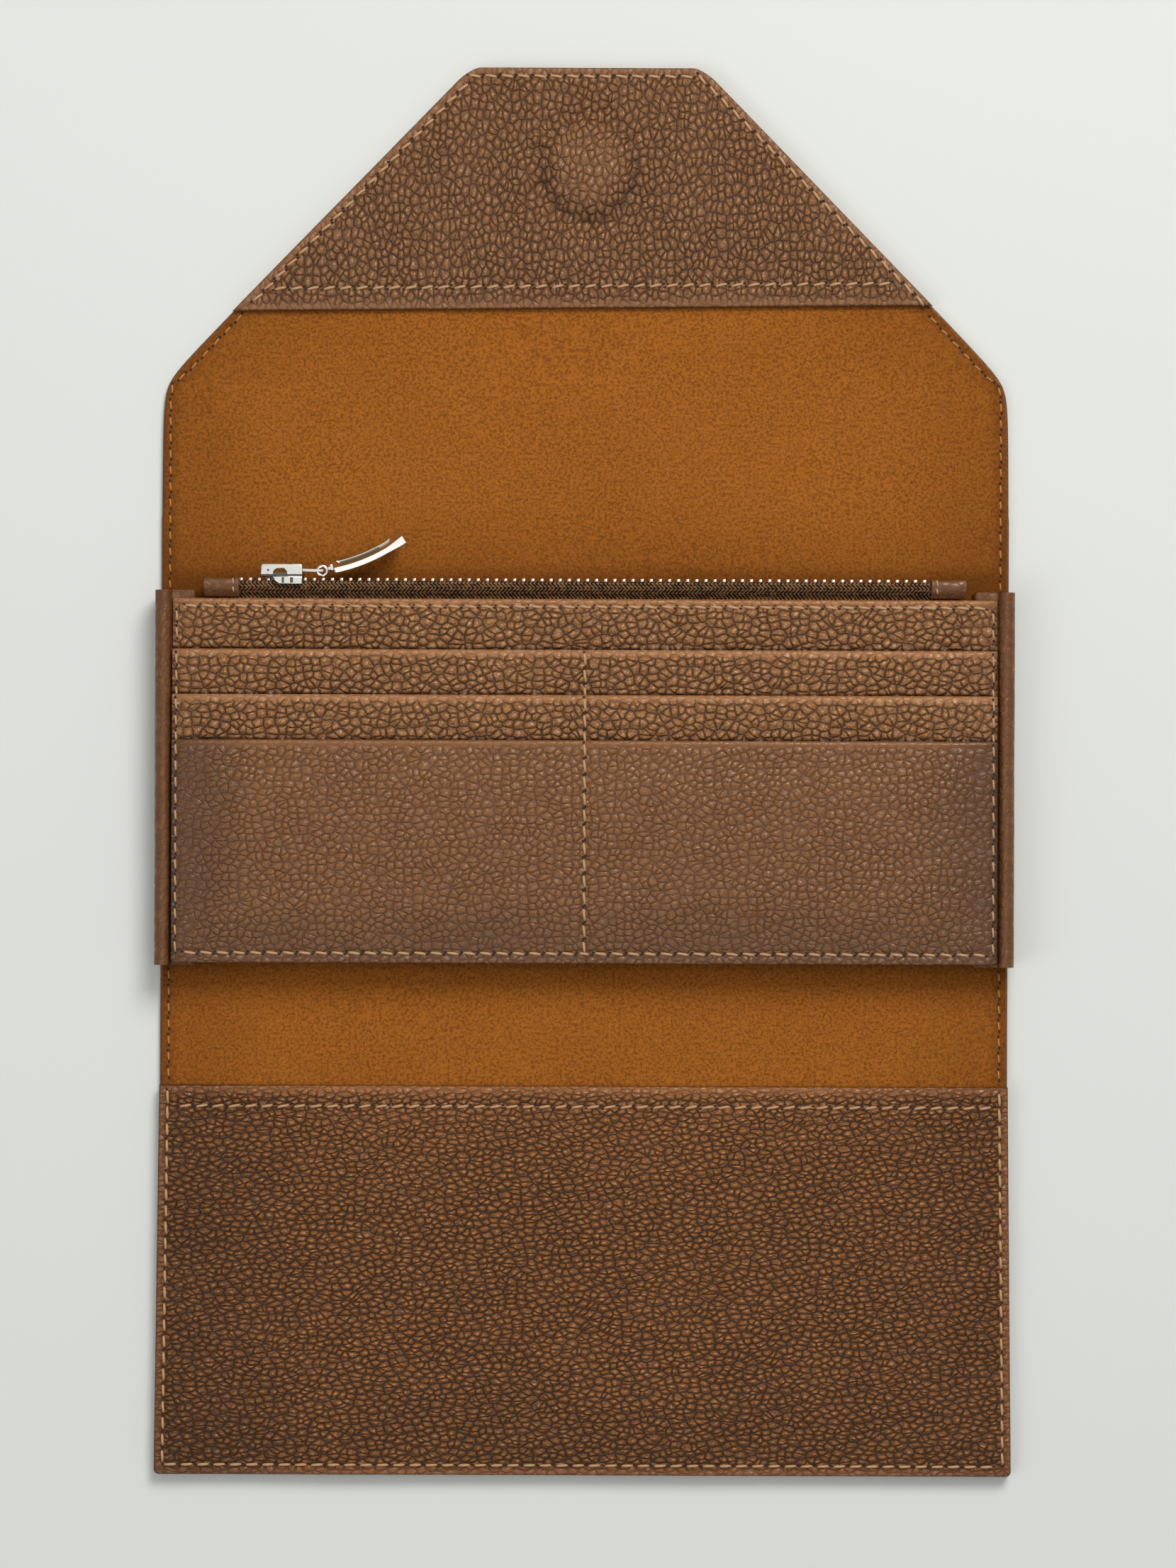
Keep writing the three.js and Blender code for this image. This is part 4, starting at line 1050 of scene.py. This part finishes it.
def build_slider_faces(materials):
    """The slider's bright faces: the arched crown with its pin, and the front wing with its marks. The pin
    and the marks take the nickel painted dark, as shade.
    """
    left, right = SLIDER_X
    foot, nose = 44.75, 42.6
    arch = [(2.7, foot), (2.8, 45.3), (3.1, 45.8), (3.6, 46.1), (5.2, 46.1), (5.7, 45.7),
            (5.9, 45.3), (6.0, foot)]
    corners = [p for p in corner_points(left, 44.5, right, 47.1, 0.55) if p[1] > 46.0]
    crown = corners + [(left, foot)] + [(left + x, y) for x, y in arch] + [(right, foot)]
    wing = [(left + 2.6, 44.25), (right - 0.1, 44.25), (right - 0.1, nose), (left + 4.2, nose),
            (left + 3.3, 43.2)]
    marks = [corner_points(left + x, 42.8, left + x + width, 44.1, 0.1, 3)
             for x, width in ((4.7, 0.55), (6.6, 0.7))]
    pieces = [
        ("crown_face", crown, 9.0, 11.65, "chrome", 0.12),
        ("crown_pin", ring_points(left + 1.6, 45.7, 0.27, 14), 11.6, 11.7, "shaded_metal", 0.03),
        ("wing_face", wing, 11.3, 11.75, "chrome", 0.12),
        ("wing_mark_0", marks[0], 11.7, 11.78, "shaded_metal", 0.02),
        ("wing_mark_1", marks[1], 11.7, 11.78, "shaded_metal", 0.02),
    ]
    for name, outline, low, high, finish, rounding in pieces:
        obj = cut_plate("slider_" + name, [outline], low, high, materials[finish], rounding)
        place(obj, "slider")


def to_pull(points):
    """Points (along, across, up) of the pull, turned and carried to where it hangs at rest."""
    tilt = math.radians(PULL_TILT)
    along, across, up = np.asarray(points, float).T
    x = PULL_PIVOT[0] + along * math.cos(tilt) - across * math.sin(tilt)
    y = PULL_PIVOT[1] + along * math.sin(tilt) + across * math.cos(tilt)
    return np.stack([x, y, up + ZIP_Z], -1)


def pull_ring(share, flare):
    """The pull's middle line and half thickness at a share of its length."""
    along = PULL_START + share * PULL_LENGTH
    across = PULL_BOW * (share * share - 2 * share * (1 - share))
    return along, across, 0.6 + flare * float(smooth_step(share, 0.72, 1.0))


def build_pull(materials):
    """The pull: its eye, neck and collar, and a bowed bar rolled to the front, with a sunk dull face."""
    roll = math.radians(PULL_ROLL)
    half = PULL_WIDTH / 2

    def rolled(along, across, v, w):
        return (along, across + v * math.cos(roll) - w * math.sin(roll),
                v * math.sin(roll) + w * math.cos(roll))

    points, inlay = [], []
    shares = np.linspace(0, 1, 33)
    for share in shares:
        along, across, t = pull_ring(share, 0.3)
        sunk = 0.28 if 0.075 < share < 0.83 else 0.0
        floor = t - sunk
        section = [(-t, -half), (-t, half), (t, half), (t, half - 0.7), (floor, half - 0.71),
                   (floor, 0.71 - half), (t, 0.7 - half), (t, -half)]
        points += [rolled(along - (0.35 * share if v > 0 else 0), across, v, w) for v, w in section]
        if sunk:
            inlay += [rolled(along, across, floor + 0.03, w) for w in (half - 0.72, 0.72 - half)]
    faces = tube_faces(len(shares), len(section), turned=True)
    bar = make_object("zip_pull_bar_metal", to_pull(points), faces, materials["chrome"])
    soften(bar, 0.1)
    place(bar, "pull_bar", ("zip_pull_bar",))
    strip = [(k, k + 1, k + 3, k + 2) for k in range(0, len(inlay) - 2, 2)]
    sunk_face = make_object("zip_pull_sunk_face", to_pull(inlay), strip, materials["dull_face"])
    place(sunk_face, "pull_bar")
    pieces = [("eye", [ring_points(*PULL_PIVOT, radius) for radius in (1.42, 0.74)], 1.3, 0.25)]
    for name, start, end, width, up in (("neck", 1.25, 2.1, 0.42, 0.5), ("collar", 1.95, 2.6, 0.72, 1.1)):
        corners = [(start, -width, 0), (end, -width, 0), (end, width, 0), (start, width, 0)]
        pieces.append((name, [[tuple(p[:2]) for p in to_pull(corners)]], up, 0.15))
    for name, rings, up, rounding in pieces:
        obj = cut_plate("zip_pull_" + name, rings, ZIP_Z - up, ZIP_Z + up, materials["chrome"], rounding)
        place(obj, "pull_bar")


def dress_frame(nodes, materials):
    # The slider's body is the same nickel as its bright faces, painted dark as the shade round them.
    finishes = {
        "zip_slider": "shaded_metal", "zip_pull_link": "chrome",
        "flap_magnet": "chrome", "striker_plate": "chrome",
    }
    for name, finish in finishes.items():
        obj = nodes[name]
        obj.data.materials.clear()
        obj.data.materials.append(materials[finish])
    soften(nodes["zip_slider"], 0.18)
    soften(nodes["zip_pull_link"], 0.12)


def build_materials():
    brown, crease = (0.158, 0.060, 0.0165), (0.052, 0.0165, 0.004)
    edge = scaled(brown, 1.02, 0.98, 0.95)
    return {
        "facing": leather("facing_leather", scaled(brown, 1.5, 1.68, 2.15), crease, cell=1.8, depth=0.8,
                          crack=0.85, gloss=0.36, tone=1.7, stretch=(1.1, 0.85, 1)),
        "pocket": leather("pocket_leather_finish", scaled(brown, 1.78, 1.76, 1.75), scaled(crease, 0.9),
                          cell=1.6, depth=1.4, crack=1.0, gloss=0.33, tone=2.4,
                          stretch=(0.74, 1.22, 1), turn=-18),
        "card": leather("card_leather", scaled(brown, 1.28, 1.28, 1.2), crease, cell=1.7, depth=0.36,
                        crack=0.7, gloss=0.33, stretch=(0.85, 1.1, 1)),
        "strip": leather("strip_leather", scaled(brown, 2.12, 2.42, 3.05), crease, cell=1.85, depth=1.0,
                         crack=0.95, gloss=0.32, tone=1.5, stretch=(0.85, 1.05, 1)),
        "gusset": leather("gusset_leather", edge, crease, cell=2.2, depth=0.12, crack=0.2, gloss=0.3,
                          flat=False),
        "shell": leather("shell_leather_finish", edge, crease, cell=1.7, depth=0.5),
        "suede": suede("lining_suede_finish", (0.345, 0.112, 0.0145), (0.175, 0.051, 0.006)),
        "thread": thread_material("tan_thread", (0.50, 0.29, 0.14)),
        "lining_thread": thread_material("lining_thread", (0.46, 0.20, 0.05)),
        # Painted shade in the needle holes.
        "hole": new_material("needle_hole", (0.028, 0.010, 0.004), 0.9)[0],
        "tape": woven("zip_tape_weave", (0.011, 0.005, 0.002), (0.23, 0.115, 0.05)),
        "teeth": metal("teeth_nickel", (0.80, 0.66, 0.58), 0.3),
        "chrome": metal("polished_nickel", (0.78, 0.77, 0.72), 0.17),
        # The same nickel as the bright faces, painted dark as shade.
        "shaded_metal": metal("shaded_nickel", (0.13, 0.115, 0.095), 0.3),
        "dull_face": new_material("sunk_face", (0.105, 0.085, 0.038), 0.45)[0],
    }


def build_stage():
    paper, _, _ = new_material("grey_paper", (0.735, 0.745, 0.715), 0.9)
    bpy.ops.mesh.primitive_plane_add(size=4, location=(0, 0, -0.0002))
    floor = bpy.context.object
    floor.name = "paper"
    floor.data.materials.append(paper)


def add_area(name, place_at, size, power, colour=(1, 1, 1), mirrored_only=False):
    light = bpy.data.lights.new(name, "AREA")
    light.shape = "DISK"
    light.size = size
    light.energy = power
    light.color = colour
    obj = bpy.data.objects.new(name, light)
    obj.location = place_at
    obj.rotation_euler = (Vector((0, 0, 0)) - Vector(place_at)).to_track_quat("-Z", "Y").to_euler()
    obj.visible_diffuse = not mirrored_only
    bpy.context.scene.collection.objects.link(obj)


def build_lights():
    world = bpy.data.worlds.new("room")
    bpy.context.scene.world = world
    world.use_nodes = True
    world.node_tree.nodes["Background"].inputs["Color"].default_value = (0.97, 1.0, 1.0, 1)
    world.node_tree.nodes["Background"].inputs["Strength"].default_value = 0.3
    add_area("overhead", (0.03, 0.10, 1.4), 1.3, 2.6, (1.0, 0.985, 0.96))
    add_area("key", (0.40, 0.88, 1.08), 0.7, 14.6, (1.0, 0.99, 0.97))
    add_area("fill", (-0.75, -0.35, 0.95), 0.8, 2.6, (0.96, 0.98, 1.0))
    add_area("card", (0.35, -0.95, 0.85), 1.1, 3.0, mirrored_only=True)


def build_camera():
    camera = bpy.data.cameras.new("camera")
    camera.sensor_width = 36
    camera.lens = CAMERA_LENS
    camera.clip_start = 0.01
    obj = bpy.data.objects.new("camera", camera)
    obj.location = (CAMERA_AIM[0] * MM, CAMERA_AIM[1] * MM, CAMERA_HEIGHT * MM)
    obj.rotation_euler = (0, 0, math.radians(CAMERA_ROLL))
    scene = bpy.context.scene
    scene.collection.objects.link(obj)
    scene.camera = obj
    scene.view_settings.view_transform = "Standard"


def main():
    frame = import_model()
    materials = build_materials()
    build_stage()
    build_lights()
    build_camera()
    build_shell(materials)
    build_lining(materials)
    build_facing(materials)
    build_pocket(materials)
    panels = build_card_panels(materials)
    build_pocket_back(materials)
    build_gussets(materials)
    build_zip(materials)
    sew_flap(materials)
    sew_lining(materials)
    sew_pocket(materials)
    sew_cards(panels, materials)
    spare_threads()
    build_slider_faces(materials)
    build_pull(materials)
    dress_frame(frame["nodes"], materials)


main()
